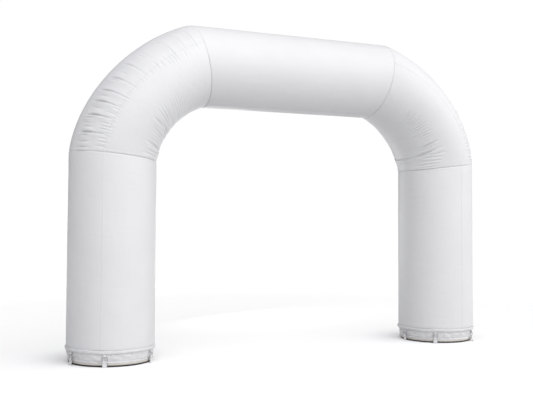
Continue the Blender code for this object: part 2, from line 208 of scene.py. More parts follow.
@dataclass(frozen=True)
class Ridge:
    """The cloth pushed up beside a crease, steep on the crease's side and gentle beyond.

    The height is a share of the crease's depth. The rest are shares of the crease's half width: the half
    widths of the steep and the gentle side, and how far the top lies from the crease's middle.
    """

    height: float
    near: float
    beyond: float
    away: float = 1.9

    def profile(self, off: Array) -> Array:
        """The ridge's height at distances from the crease's middle, above 0 on the ridge's own side."""
        past = off - self.away
        return self.height * bell(past / np.where(past > 0, self.beyond, self.near))


RIDGE_ABOVE = Ridge(0.20, 0.9, 3.0)
RIDGE_BELOW = Ridge(0.80, 0.85, 5.0)
TROUGH_POWER = 1.6


@dataclass(frozen=True)
class Crease:
    """A soft trough across a section's cloth, or a ridge where its depth is below 0.

    It runs from one angle to another, in degrees, and from one place along the section to another, as a
    share of its length. Depth and half width are metres, and deep is where it is deepest, from 0 to 1.
    """

    start: float
    end: float
    place: float
    place_end: float
    depth: float
    width: float
    deep: float = 0.5

    def height(self, t: Array, degrees: Array, length: Array) -> Array:
        """The crease's height over the cloth.

        Across it, the height is minus a bell of its half width, plus a low ridge above and a taller one
        below. Along it, all ease in from its start to its deepest point and out to its end.

        Args:
            t: Places along the section.
            degrees: Angles round it.
            length: The section's length at each angle.

        Returns:
            Heights in metres.
        """
        along = (degrees - self.start) / (self.end - self.start)
        line = self.place + (self.place_end - self.place) * along
        off = (t - line) * length / self.width
        shape = RIDGE_ABOVE.profile(off) + RIDGE_BELOW.profile(-off) - bell(off, TROUGH_POWER)
        swell = smooth(along / self.deep) * smooth((1.0 - along) / (1.0 - self.deep))
        return self.depth * shape * np.sqrt(swell)


@dataclass(frozen=True)
class Ripples:
    """A patch of fine even ripples.

    It lies between two angles in degrees and two places along the section. The pitch is a share of the
    section's length, the height is metres, and slant moves the ripples along by that share for each degree.
    The fades are shares of the patch, and drift is how far unevenness moves a ripple, in pitches. Level is
    the share of the height that all ripples have, and swing the share that unevenness adds or takes away.
    """

    start: float
    end: float
    place: float
    place_end: float
    pitch: float
    height: float
    slant: float = 0.0
    fade_round: float = 0.38
    fade_along: float = 0.30
    drift: float = 0.09
    level: float = 0.85
    swing: float = 0.30

    def field(self, t: Array, degrees: Array, uneven: Array) -> Array:
        """A sine along the section, faded at the patch's rim and made uneven by a field from -1 to 1."""
        middle = (self.start + self.end) / 2
        phase = (t + self.slant * (degrees - middle)) / self.pitch + self.drift * uneven
        rim = window(degrees, self.start, self.end, (self.end - self.start) * self.fade_round)
        rim = rim * window(t, self.place, self.place_end, (self.place_end - self.place) * self.fade_along)
        return self.height * np.sin(TURN * phase) * rim * (self.level + self.swing * uneven)


@dataclass(frozen=True)
class Gathers:
    """Small puckers in a row along a seam, which each cross it: sizes in metres.

    Each pucker strays from its even place by a share of the pitch, and its depth, width and reach are the
    row's own times a random number in a range. Right at the stitches it is lower by stitch_share.
    """

    pitch: float
    depth: float
    width: float
    reach: float
    reach_other: float
    stray: float = 0.4
    depths: tuple[float, float] = (0.25, 1.35)
    widths: tuple[float, float] = (0.75, 1.35)
    reaches: tuple[float, float] = (0.45, 1.60)
    stitch_share: float = 0.75
    stitch_width: float = 0.009

    def field(self, seed: int, along: Array, across: Array, length: float,
              strength: Array | None = None) -> Array:
        """The puckers' height over the cloth.

        Each pucker is a bell along the seam times an easing off across it, and lower right at the stitches.
        The product of a matrix of the bells and one of the easings adds them all.

        Args:
            seed: Which set of random numbers.
            along: Distances along the seam, one for each row or column that crosses it.
            across: Distances from the seam, below 0 on its other side.
            length: The seam's length.
            strength: How strong the puckers are, at even steps along the seam.

        Returns:
            Heights, with a row for each place in along and a column for each in across.
        """
        random = np.random.default_rng(seed)
        count = max(2, int(length / self.pitch))
        place = (np.arange(count) + 0.5 + random.uniform(-self.stray, self.stray, count)) / count
        depth = self.depth * random.uniform(*self.depths, count)
        if strength is not None:
            depth = depth * np.interp(place, np.linspace(0, 1, len(strength)), strength)
        width = self.width * random.uniform(*self.widths, count)
        reach = self.reach * random.uniform(*self.reaches, count)
        other = self.reach_other * random.uniform(*self.reaches, count)
        bells = bell((along[:, None] - place[None, :] * length) / width[None, :])
        far = np.where(across[None, :] >= 0, reach[:, None], other[:, None])
        easing = depth[:, None] * smooth(1.0 - np.abs(across[None, :]) / far)
        easing = easing * (1.0 - self.stitch_share * bell(across[None, :] / self.stitch_width))
        return -bells @ easing


# The roll beside a lengthwise seam: its height as a share of the channel's depth, then its distance and
# its half width as shares of the channel's half width.
ROLL_HEIGHT, ROLL_AWAY, ROLL_WIDTH = 0.3, 2.6, 1.3
# A cross seam's nip, wider draw and roll: height, half width and distance in metres, and the bell's power.
JOINT_PROFILE = ((-0.0036, 0.008, 0.0, 1.2), (-0.0018, 0.045, 0.0, 2.0), (0.0016, 0.008, 0.019, 2.0))


def seam_channel(distance: Array, depth: float, width: float) -> Array:
    """A lengthwise seam's height over the cloth: a narrow channel with a low roll on either side."""
    away = np.abs(distance)
    roll = ROLL_HEIGHT * depth * bell((away - ROLL_AWAY * width) / (ROLL_WIDTH * width))
    return roll - depth * bell(away / width, 1.5)


def joint_draw(distance: Array) -> Array:
    """A cross seam's height over the cloth: a sharp nip at the stitches, a low roll and a wider draw."""
    return sum(height * bell((distance - away) / width, power)
               for height, width, away, power in JOINT_PROFILE)


@dataclass
class Grid:
    """A section's finished grid: its points, its place round and along in metres, and its seam distance."""

    points: Array
    around: Array
    along: Array
    seam: Array


def faces_of(rows: int, columns: int, capped: bool, flip: bool) -> tuple[Array, Array, Array]:
    """The quads of a grid whose columns run all the way round, and the fans that close its ends.

    Args:
        rows: Rows of the grid.
        columns: Columns of the grid.
        capped: Whether a fan about a middle point closes each end. If not, the last row joins the first.
        flip: Whether the faces are wound the other way.

    Returns:
        Corner indices, the first corner of each face, and each corner's row and unwrapped column.
    """
    spans = rows - 1 if capped else rows
    i, j = np.meshgrid(np.arange(spans), np.arange(columns), indexing="ij")
    i, j = i.ravel(), j.ravel()
    row = np.stack([i, i + 1, i + 1, i], axis=1)
    column = np.stack([j, j, j + 1, j + 1], axis=1)
    if flip:
        row, column = row[:, ::-1], column[:, ::-1]
    corner = (row % rows) * columns + column % columns
    starts = np.arange(len(corner)) * 4
    place = np.stack([row, column], axis=-1).reshape(-1, 2)
    if not capped:
        return corner.ravel(), starts, place
    k = np.arange(columns)
    low = np.stack([np.full(columns, rows * columns), k, (k + 1) % columns], axis=1)
    top = (rows - 1) * columns
    high = np.stack([np.full(columns, rows * columns + 1), top + (k + 1) % columns, top + k], axis=1)
    if flip:
        low, high = low[:, ::-1], high[:, ::-1]
    fans = np.concatenate([low, high])
    fan_starts = len(corner) * 4 + np.arange(len(fans)) * 3
    fan_place = np.zeros((len(fans) * 3, 2), int)
    fan_place[len(low) * 3:, 0] = rows - 1
    return (np.concatenate([corner.ravel(), fans.ravel()]), np.concatenate([starts, fan_starts]),
            np.concatenate([place, fan_place]))


def grid_object(name: str, grid: Grid, material: Material, capped: bool = True,
                flip: bool = False) -> Piece:
    """Puts a grid into a smooth-shaded object at the origin, with its metres as UV and its seam distance.

    Args:
        name: The piece's name.
        grid: What the piece's grid holds.
        material: Its finish.
        capped: Whether fans close its ends. If not, its last row joins its first.
        flip: Whether its faces are wound the other way.

    Returns:
        The piece.
    """
    rows, columns = grid.points.shape[:2]
    points = grid.points.reshape(-1, 3)
    seam = grid.seam.reshape(-1)
    if capped:
        points = np.concatenate([points, [grid.points[0].mean(axis=0)], [grid.points[-1].mean(axis=0)]])
        seam = np.concatenate([seam, [1.0, 1.0]])
    corners, starts, place = faces_of(rows, columns, capped, flip)
    mesh = bpy.data.meshes.new(name)
    mesh.vertices.add(len(points))
    mesh.vertices.foreach_set("co", points.astype(np.float32).ravel())
    mesh.loops.add(len(corners))
    mesh.loops.foreach_set("vertex_index", corners.astype(np.int32))
    mesh.polygons.add(len(starts))
    mesh.polygons.foreach_set("loop_start", starts.astype(np.int32))
    mesh.update(calc_edges=True)
    mesh.validate()
    layer = mesh.uv_layers.new(name="metres")
    wide = np.concatenate([grid.around, 2 * grid.around[:, -1:] - grid.around[:, -2:-1]], axis=1)
    high = np.concatenate([grid.along, grid.along[:, :1]], axis=1)
    row, column = np.minimum(place[:, 0], rows - 1), place[:, 1]
    uv = np.stack([wide[row, column], high[row, column]], axis=1)
    layer.data.foreach_set("uv", uv.astype(np.float32).ravel())
    attribute = mesh.attributes.new("seam", "FLOAT", "POINT")
    attribute.data.foreach_set("value", seam.astype(np.float32))
    mesh.shade_smooth()
    mesh.materials.append(material)
    piece = bpy.data.objects.new(name, mesh)
    bpy.context.scene.collection.objects.link(piece)
    log.info("%s: %d points, %d faces", name, len(points), len(starts))
    return piece


def mirrored(points: Array, side: Side) -> Array:
    """Points worked out for the side at +X, moved to the given side."""
    return points * np.array([side.value, 1.0, 1.0])


def place_piece(piece: Piece, node: str) -> Piece:
    """Has a piece ride on the arch's one body and stand for its CAD node."""
    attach(piece, "root")
    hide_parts(node)
    return piece


def linear(code: str) -> tuple[float, float, float, float]:
    """An sRGB hex colour as the linear values that a shader takes."""
    parts = [int(code[k:k + 2], 16) / 255 for k in (1, 3, 5)]
    red, green, blue = (p / 12.92 if p <= 0.04045 else ((p + 0.055) / 1.055) ** 2.4 for p in parts)
    return red, green, blue, 1.0


def add_node(material: NodeOwner, kind: str, settings: dict | None = None,
             inputs: dict | None = None) -> Node:
    """Adds one shader node with its settings, its values and its links.

    Args:
        material: The material or the surround that it goes into.
        kind: The node's type, such as ShaderNodeMath.
        settings: Attributes of the node itself.
        inputs: For each input, by name or number, a value or the output that it is linked to.

    Returns:
        The node.
    """
    node = material.node_tree.nodes.new(kind)
    for key, value in (settings or {}).items():
        setattr(node, key, value)
    for key, value in (inputs or {}).items():
        if isinstance(value, Socket):
            material.node_tree.links.new(value, node.inputs[key])
        else:
            node.inputs[key].default_value = value
    return node


def new_material(name: str) -> tuple[Material, Node]:
    """A material of that name and its Principled shader."""
    material = bpy.data.materials.new(name)
    material.use_nodes = True
    return material, material.node_tree.nodes["Principled BSDF"]


def arithmetic(material: NodeOwner, operation: str, a: Socket,
               b: Socket | float = 0.0) -> Socket:
    """Two values put through one arithmetic node."""
    return add_node(material, "ShaderNodeMath", {"operation": operation}, {0: a, 1: b}).outputs[0]


def eased(material: Material, value: Socket, start: float, end: float,
          top: float = 1.0) -> Socket:
    """0 where a value is at start, easing to top where it is at end."""
    return add_node(material, "ShaderNodeMapRange", {"interpolation_type": "SMOOTHSTEP"},
                    {"Value": value, "From Min": start, "From Max": end, "To Max": top}).outputs["Result"]


def near_line(material: Material, value: Socket, centre: float,
              width: float) -> Socket:
    """1 where a value lies within half the width of a centre, easing to 0 at one and a half widths."""
    off = arithmetic(material, "SUBTRACT", value, centre)
    return eased(material, arithmetic(material, "ABSOLUTE", off), width * 1.5, width * 0.5)


def blend(material: Material, factor: Socket, first: str | Socket,
          second: str) -> Socket:
    """A colour between two by a factor from 0 to 1. A hex code or, for the first, another colour's output."""
    start = linear(first) if isinstance(first, str) else first
    return add_node(material, "ShaderNodeMix", {"data_type": "RGBA"},
                    {"Factor": factor, 6: start, 7: linear(second)}).outputs[2]


def noise(material: Material, place: Socket, size: float, detail: float = 2.0,
          roughness: float = 0.5) -> Socket:
    """Noise from 0 to 1 in patches of about that size in metres."""
    return add_node(material, "ShaderNodeTexNoise", inputs={
        "Vector": place, "Scale": 1 / size, "Detail": detail, "Roughness": roughness}).outputs["Fac"]


def waves(material: Material, uv: Socket, direction: str,
          pitch: float) -> Socket:
    """Sine waves from 0 to 1 across the UV's X or Y, that pitch in metres apart."""
    # A wave texture's bands stand a twentieth of a turn apart at scale 1.
    return add_node(material, "ShaderNodeTexWave", {"bands_direction": direction},
                    {"Vector": uv, "Scale": TURN / 20 / pitch}).outputs["Fac"]


def bump(material: Material, height: Socket, distance: float, strength: float,
         under: Socket | None = None) -> Socket:
    """A relief of that height in metres, laid over the one under it where there is one."""
    inputs = {"Height": height, "Distance": distance, "Strength": strength}
    if under is not None:
        inputs["Normal"] = under
    return add_node(material, "ShaderNodeBump", inputs=inputs).outputs["Normal"]


def stitches(material: Material, along: Socket, pitch: float,
             width: float) -> Socket:
    """1 on each stitch of a row, at that pitch, and 0 between them."""
    dash = arithmetic(material, "PINGPONG", along, pitch / 2)
    return near_line(material, dash, pitch / 2, width)


def map_outputs(material: Material) -> tuple[Socket, Socket]:
    """A piece's UV in metres and its own place in space."""
    uv = add_node(material, "ShaderNodeUVMap", {"uv_map": "metres"}).outputs["UV"]
    return uv, add_node(material, "ShaderNodeTexCoord").outputs["Object"]


def finish_material(material: Material, shader: Node,
                    values: dict[str, Socket | float]) -> Material:
    """Gives the shader its values and links, and hands the material back."""
    for key, value in values.items():
        if isinstance(value, Socket):
            material.node_tree.links.new(value, shader.inputs[key])
        else:
            shader.inputs[key].default_value = value
    return material


@dataclass(frozen=True)
class CoatedCloth:
    """Polyester cloth, woven and coated with polyurethane, then sewn: matt white with a faint satin."""

    name: str = "polyester_cloth_woven_coated_white"
    colour: str = "#C9C9CA"
    colour_soiled: str = "#C3C3C5"
    # The seam lines' colour, partly painted shade in the seams' channels, and the stitches' thread colour.
    seam_colour: str = "#B2B2B5"
    soil_size: float = 0.35
    patch_size: float = 0.12
    roughness: float = 0.46
    roughness_swing: float = 0.05
    # 210 denier yarn is woven at about 0.3 mm. Drawn at 4 mm, since finer threads vanish in the render.
    thread_pitch: float = 0.004
    thread_height: float = 0.00006
    # Ripstop squares are 8 mm on such cloth. Drawn at 12 mm, the finest that the render holds.
    ripstop_pitch: float = 0.012
    ripstop_height: float = 0.00012
    slack_size: float = 0.055
    slack_height: float = 0.0016
    seam_width: float = 0.0016
    stitch_pitch: float = 0.009
    stitch_width: float = 0.00252
    stitch_off_seam: float = 0.0045
    thread_width: float = 0.0012
    stitch_tone: float = 0.35

    def material(self) -> Material:
        """Builds the finish on the piece's UV in metres and on its distance from the nearest seam."""
        material, shader = new_material(self.name)
        uv, place = map_outputs(material)
        seam = add_node(material, "ShaderNodeAttribute", {"attribute_name": "seam"}).outputs["Fac"]
        along = add_node(material, "ShaderNodeSeparateXYZ", inputs={0: uv}).outputs["Y"]
        soil = noise(material, place, self.soil_size, 4.0, 0.6)
        tone = blend(material, soil, self.colour, self.colour_soiled)
        # Painted shade: the lines of the seams and joints are drawn darker, partly for the shade in their
        # channels and partly for dirt in the stitching.
        fold = near_line(material, seam, 0.0, self.seam_width)
        tone = blend(material, fold, tone, self.seam_colour)
        row = near_line(material, seam, self.stitch_off_seam, self.thread_width)
        stitch = stitches(material, along, self.stitch_pitch, self.stitch_width)
        stitch = arithmetic(material, "MULTIPLY", stitch, row)
        tone = blend(material, arithmetic(material, "MULTIPLY", stitch, self.stitch_tone), tone,
                     self.seam_colour)
        patchy = noise(material, place, self.patch_size, 3.0)
        rough = add_node(material, "ShaderNodeMapRange", inputs={
            "Value": patchy, "To Min": self.roughness - self.roughness_swing,
            "To Max": self.roughness + self.roughness_swing}).outputs["Result"]
        return finish_material(material, shader, {
            "Base Color": tone, "Roughness": rough, "Normal": self.relief(material, uv, place),
            "IOR": 1.46, "Sheen Weight": 0.08, "Sheen Roughness": 0.5})

    def relief(self, material: Material, uv: Socket,
               place: Socket) -> Socket:
        """Slack, ripstop squares and threads, one bump on the next."""
        normal = bump(material, noise(material, place, self.slack_size, 2.0, 0.4), self.slack_height, 0.5)
        layers = ((self.ripstop_pitch, self.ripstop_height), (self.thread_pitch, self.thread_height))
        for direction in ("X", "Y"):
            for pitch, height in layers:
                normal = bump(material, waves(material, uv, direction, pitch), height, 0.6, normal)
        return normal


@dataclass(frozen=True)
class PlainCloth:
    """A plain sewn cloth of one colour with a soft weave, for the rolled edges and the base sheets."""

    name: str
    colour: str
    colour_worn: str
    roughness: float
    wear_size: float = 0.06
    wear_height: float = 0.0012
    # Yarn on such cloth is woven at about 0.5 mm. Drawn at 3 mm, since finer threads vanish in the render.
    thread_pitch: float = 0.003
    thread_height: float = 0.0002

    def material(self) -> Material:
        """Builds the finish: patchy wear in the colour and a crossed weave in the bump."""
        material, shader = new_material(self.name)
        uv, place = map_outputs(material)
        wear = noise(material, place, self.wear_size, 5.0, 0.65)
        normal = bump(material, wear, self.wear_height, 0.5)
        for direction in ("X", "Y"):
            weave = waves(material, uv, direction, self.thread_pitch)
            normal = bump(material, weave, self.thread_height, 0.6, normal)
        return finish_material(material, shader, {
            "Base Color": blend(material, wear, self.colour, self.colour_worn), "Normal": normal,
            "Roughness": self.roughness})


@dataclass(frozen=True)
class Webbing:
    """Polyester webbing, woven 50 mm wide and 1.6 mm thick: matt off-white with ribs along it."""

    name: str = "polyester_webbing_woven_white"
    colour: str = "#D9D9DA"
    groove_shade_colour: str = "#BDBDBF"
    thread_colour: str = "#8F8F92"
    roughness: float = 0.68
    # Ribs are 2 mm apart on such webbing. Drawn at 3.5 mm, so that a near view still shows them.
    rib_pitch: float = 0.0035
    rib_height: float = 0.0005
    weft_pitch: float = 0.0022
    weft_height: float = 0.0002
    tack_places: tuple[float, float] = (0.024, 0.030)
    tack_width: float = 0.0011
    stitch_pitch: float = 0.0044
    stitch_width: float = 0.0012

    def material(self) -> Material:
        """Builds the finish on UV: X across the webbing and Y along it from the ring, in metres."""
        material, shader = new_material(self.name)
        uv = map_outputs(material)[0]
        split = add_node(material, "ShaderNodeSeparateXYZ", inputs={0: uv})
        ribs = waves(material, uv, "X", self.rib_pitch)
        weft = waves(material, uv, "Y", self.weft_pitch)
        # Painted shade: the webbing is drawn darker where the ribs' bump is low, in the grooves between them.
        tone = blend(material, ribs, self.groove_shade_colour, self.colour)
        thread = stitches(material, split.outputs["X"], self.stitch_pitch, self.stitch_width)
        for place in self.tack_places:
            row = near_line(material, split.outputs["Y"], place, self.tack_width)
            tone = blend(material, arithmetic(material, "MULTIPLY", row, thread), tone, self.thread_colour)
        normal = bump(material, ribs, self.rib_height, 0.8)
        normal = bump(material, weft, self.weft_height, 0.8, normal)
        return finish_material(material, shader, {
            "Base Color": tone, "Normal": normal, "Roughness": self.roughness})


@dataclass(frozen=True)
class PlatedSteel:
    """Steel wire, drawn, bent, welded and zinc plated: a cool mid grey with fine draw marks."""

    name: str = "steel_wire_drawn_zinc_plated"
    colour: str = "#A3A4A7"
    colour_dull: str = "#87888C"
    roughness: float = 0.34
    dull_size: float = 0.012
    grain_size: float = 0.0015
    grain_height: float = 0.0001

    def material(self) -> Material:
        """Builds the finish: patches of duller zinc and a fine grain in the bump."""
        material, shader = new_material(self.name)
        place = map_outputs(material)[1]
        dull = noise(material, place, self.dull_size, 4.0)
        marks = noise(material, place, self.grain_size)
        return finish_material(material, shader, {
            "Base Color": blend(material, dull, self.colour, self.colour_dull),
            "Normal": bump(material, marks, self.grain_height, 0.4), "Metallic": 1.0,
            "Roughness": self.roughness})


@dataclass(frozen=True)
class Finishes:
    """The materials that the pieces share."""

    cloth: Material
    welt: Material
    edge: Material
    base: Material
    webbing: Material
    steel: Material

    @classmethod
    def made(cls) -> Finishes:
        """Builds each finish once."""
        return cls(
            cloth=CoatedCloth().material(),
            # Painted shade: the welt's copy of the cloth is drawn a little darker than the rest, to tone down
            # the light on its roll.
            welt=CoatedCloth(name="polyester_cloth_woven_coated_padded", colour="#C2C2C4").material(),
            edge=PlainCloth("polyester_cloth_woven_cream", "#C3C0BA", "#B6B2AB", 0.7).material(),
            # Painted shadow: the black base sheet also stands for the contact shadow under the rolled edge.
            base=PlainCloth("vinyl_cloth_coated_black", "#1C1B1A", "#2A2826", 0.6).material(),
            webbing=Webbing().material(),
            steel=PlatedSteel().material(),
        )


def outer_fold(place: float, depth: float, tail: float, end: float = 63.0) -> list[Crease]:
    """One fold of the outer panel: deep and short near the top line, and a shallow run to the seam.

    Args:
        place: Its share of the bend's length.
        depth: How deep it is, in metres.
        tail: What share of that depth runs on to the seam.
        end: The angle in degrees where it ends.

    Returns:
        The two creases that make it up.
    """
    return [Crease(17.0, 44.0, place - 0.009, place + 0.001, depth, 0.0105, 0.45),
            Crease(24.0, end, place - 0.001, place - 0.003, depth * tail, 0.0078, 0.50)]


# The outer panel's main folds come first, then its short creases, then those of the wrap-around panel.
LEFT_CREASES: list[Crease] = [
    *outer_fold(0.107, 0.0175, 0.55), *outer_fold(0.208, 0.0190, 0.60), *outer_fold(0.290, 0.0180, 0.55),
    *outer_fold(0.359, 0.0155, 0.48, 68.0), *outer_fold(0.442, 0.0125, 0.46, 69.0),
    *outer_fold(0.542, 0.0080, 0.60, 71.0), Crease(19.0, 42.0, 0.048, 0.054, 0.0110, 0.009, 0.40),
    Crease(52.0, 66.0, 0.058, 0.057, 0.0060, 0.008), Crease(21.0, 38.0, 0.082, 0.086, 0.0085, 0.009),
    Crease(18.0, 44.0, 0.016, 0.022, 0.0110, 0.010), Crease(22.0, 42.0, 0.132, 0.138, 0.0085, 0.009),
    Crease(50.0, 65.0, 0.133, 0.135, 0.0065, 0.008), Crease(50.0, 65.0, 0.077, 0.079, 0.0060, 0.008),
    Crease(52.0, 65.0, 0.030, 0.031, 0.0060, 0.008), Crease(22.0, 40.0, 0.153, 0.158, 0.0065, 0.009),
    Crease(19.0, 38.0, 0.180, 0.188, 0.0105, 0.009), Crease(50.0, 66.0, 0.150, 0.151, 0.0055, 0.008),
    Crease(48.0, 66.0, 0.170, 0.172, 0.0055, 0.008), Crease(50.0, 66.0, 0.236, 0.238, 0.0045, 0.008),
    Crease(52.0, 66.0, 0.270, 0.271, 0.0040, 0.008), Crease(24.0, 44.0, 0.243, 0.248, 0.0060, 0.009),
    Crease(25.0, 42.0, 0.318, 0.323, 0.0045, 0.009), Crease(24.0, 40.0, 0.419, 0.426, 0.0065, 0.009),
    Crease(25.0, 42.0, 0.480, 0.484, 0.0035, 0.010), Crease(24.0, 42.0, 0.614, 0.622, 0.0040, 0.010),
    Crease(22.0, 50.0, 0.634, 0.644, 0.0040, 0.010), Crease(20.0, 81.0, 0.754, 0.778, 0.0085, 0.0080, 0.68),
    Crease(24.0, 44.0, 0.740, 0.752, 0.0080, 0.010), Crease(20.0, 80.0, 0.838, 0.862, 0.0075, 0.0080, 0.60),
    Crease(22.0, 44.0, 0.823, 0.838, 0.0090, 0.010), Crease(62.0, 78.0, 0.829, 0.834, 0.0055, 0.008),
    Crease(62.0, 78.0, 0.746, 0.752, 0.0055, 0.008), Crease(17.0, 75.0, 0.914, 0.942, 0.0090, 0.0080, 0.50),
    Crease(20.0, 42.0, 0.903, 0.915, 0.0085, 0.010), Crease(60.0, 78.0, 0.722, 0.732, 0.0040, 0.008),
    Crease(60.0, 76.0, 0.700, 0.706, 0.0035, 0.008), Crease(60.0, 74.0, 0.660, 0.666, 0.0045, 0.009),
    Crease(54.0, 70.0, 0.627, 0.630, 0.0050, 0.009),
    Crease(112.0, 180.0, 0.150, 0.118, 0.0140, 0.0105, 0.66),
    Crease(118.0, 152.0, 0.123, 0.108, 0.0045, 0.010), Crease(112.0, 158.0, 0.050, 0.036, 0.0045, 0.010),
    Crease(120.0, 156.0, 0.080, 0.066, 0.0035, 0.010), Crease(106.0, 132.0, 0.352, 0.339, 0.0070, 0.010),
    Crease(126.0, 174.0, 0.364, 0.336, 0.0105, 0.011, 0.50),
    Crease(134.0, 158.0, 0.326, 0.292, 0.0065, 0.010), Crease(114.0, 154.0, 0.276, 0.260, 0.0040, 0.010),
    Crease(112.0, 154.0, 0.248, 0.234, 0.0042, 0.010), Crease(116.0, 152.0, 0.222, 0.210, 0.0030, 0.010),
    Crease(106.0, 140.0, 0.480, 0.458, 0.0048, 0.011), Crease(102.0, 138.0, 0.452, 0.428, 0.0045, 0.011),
    Crease(104.0, 140.0, 0.420, 0.394, 0.0036, 0.011), Crease(120.0, 170.0, 0.190, 0.165, 0.0035, 0.013),
    Crease(130.0, 186.0, 0.470, 0.430, 0.0045, 0.014), Crease(128.0, 182.0, 0.560, 0.535, 0.0035, 0.014),
]
RIGHT_CREASES: list[Crease] = [
    *outer_fold(0.107, 0.0110, 0.60, 66.0), *outer_fold(0.198, 0.0100, 0.60, 66.0),
    *outer_fold(0.293, 0.0085, 0.50, 68.0), *outer_fold(0.390, 0.0080, 0.50, 70.0),
    *outer_fold(0.470, 0.0060, 0.50, 70.0), *outer_fold(0.560, 0.0045, 0.50, 72.0),
    Crease(18.0, 66.0, 0.052, 0.056, 0.0075, 0.010, 0.60),
    Crease(20.0, 64.0, 0.084, 0.082, 0.0060, 0.010, 0.70),
    Crease(22.0, 66.0, 0.130, 0.134, 0.0065, 0.010, 0.65),
    Crease(24.0, 68.0, 0.160, 0.156, 0.0055, 0.010, 0.60),
    Crease(20.0, 68.0, 0.226, 0.230, 0.0055, 0.010, 0.60),
    Crease(20.0, 78.0, 0.760, 0.778, 0.0014, 0.012, 0.35),
    Crease(22.0, 76.0, 0.850, 0.868, 0.0014, 0.012, 0.35),
    Crease(18.0, 74.0, 0.920, 0.940, 0.0014, 0.012, 0.35),
    Crease(112.0, 150.0, 0.289, 0.262, 0.0120, 0.0085, 0.45),
    Crease(116.0, 150.0, 0.256, 0.234, 0.0050, 0.009), Crease(108.0, 132.0, 0.214, 0.200, 0.0050, 0.012),
    Crease(120.0, 158.0, 0.204, 0.171, 0.0150, 0.0085, 0.50),
    Crease(140.0, 214.0, 0.171, 0.164, 0.0080, 0.008, 0.42),
    Crease(124.0, 154.0, 0.178, 0.146, 0.0065, 0.009, 0.50),
    Crease(112.0, 148.0, 0.118, 0.140, 0.0062, 0.010, 0.55),
    Crease(106.0, 134.0, 0.158, 0.150, 0.0045, 0.011),
    Crease(114.0, 150.0, 0.082, 0.094, 0.0055, 0.010, 0.50),
    Crease(118.0, 160.0, 0.054, 0.048, 0.0070, 0.010, 0.55),
    Crease(114.0, 162.0, 0.022, 0.020, 0.0055, 0.009), Crease(160.0, 204.0, 0.112, 0.108, 0.0060, 0.012),
    Crease(150.0, 178.0, 0.300, 0.285, 0.0035, 0.013), Crease(150.0, 190.0, 0.460, 0.445, 0.0030, 0.016),
]
LEFT_RIPPLES: list[Ripples] = [Ripples(106, 140, 0.50, 0.70, 0.0270, 0.0026, 0.0007),
                               Ripples(108, 144, 0.36, 0.54, 0.0260, 0.0018, 0.0008)]
RIGHT_RIPPLES: list[Ripples] = [Ripples(112, 148, 0.31, 0.77, 0.0305, 0.0056, 0.0004)]


@dataclass(frozen=True)
class BendCloth:
    """What sets one bend's cloth apart from the other's, with angles in degrees.

    Two lengthwise seams lie seam_angle off the outer side, and seam_drift nearer to it by the leg. The
    strength of their puckers is given at even steps from the leg to the beam.
    """

    seam_angle: float
    seam_drift: float
    strength: tuple[float, ...]
    gathers: Gathers
    creases: list[Crease]
    ripples: list[Ripples]
    seed: int


BEND_CLOTH = {
    Side.LEFT: BendCloth(63.0, 0.0, (1.5, 1.4, 1.1, 1.0, 1.0, 1.0, 1.05, 1.1, 1.1),
                         Gathers(0.032, 0.0042, 0.0082, 0.054, 0.048), LEFT_CREASES, LEFT_RIPPLES, 100),
    Side.RIGHT: BendCloth(68.5, 12.0, (1.3, 1.3, 1.3, 1.2, 1.0, 0.8, 0.6, 0.5, 0.5),
                          Gathers(0.032, 0.0042, 0.0082, 0.120, 0.034), RIGHT_CREASES, RIGHT_RIPPLES, 200),
}


def slack_layers(layers: Layers, turn: Array, rows: Array, seed: int) -> Array:
    """Layers of slack, each of a height in metres and a lattice, with random heights of its own."""
    return sum(height * slack(turn, rows, cells, seed + number)
               for number, (height, cells) in enumerate(layers))


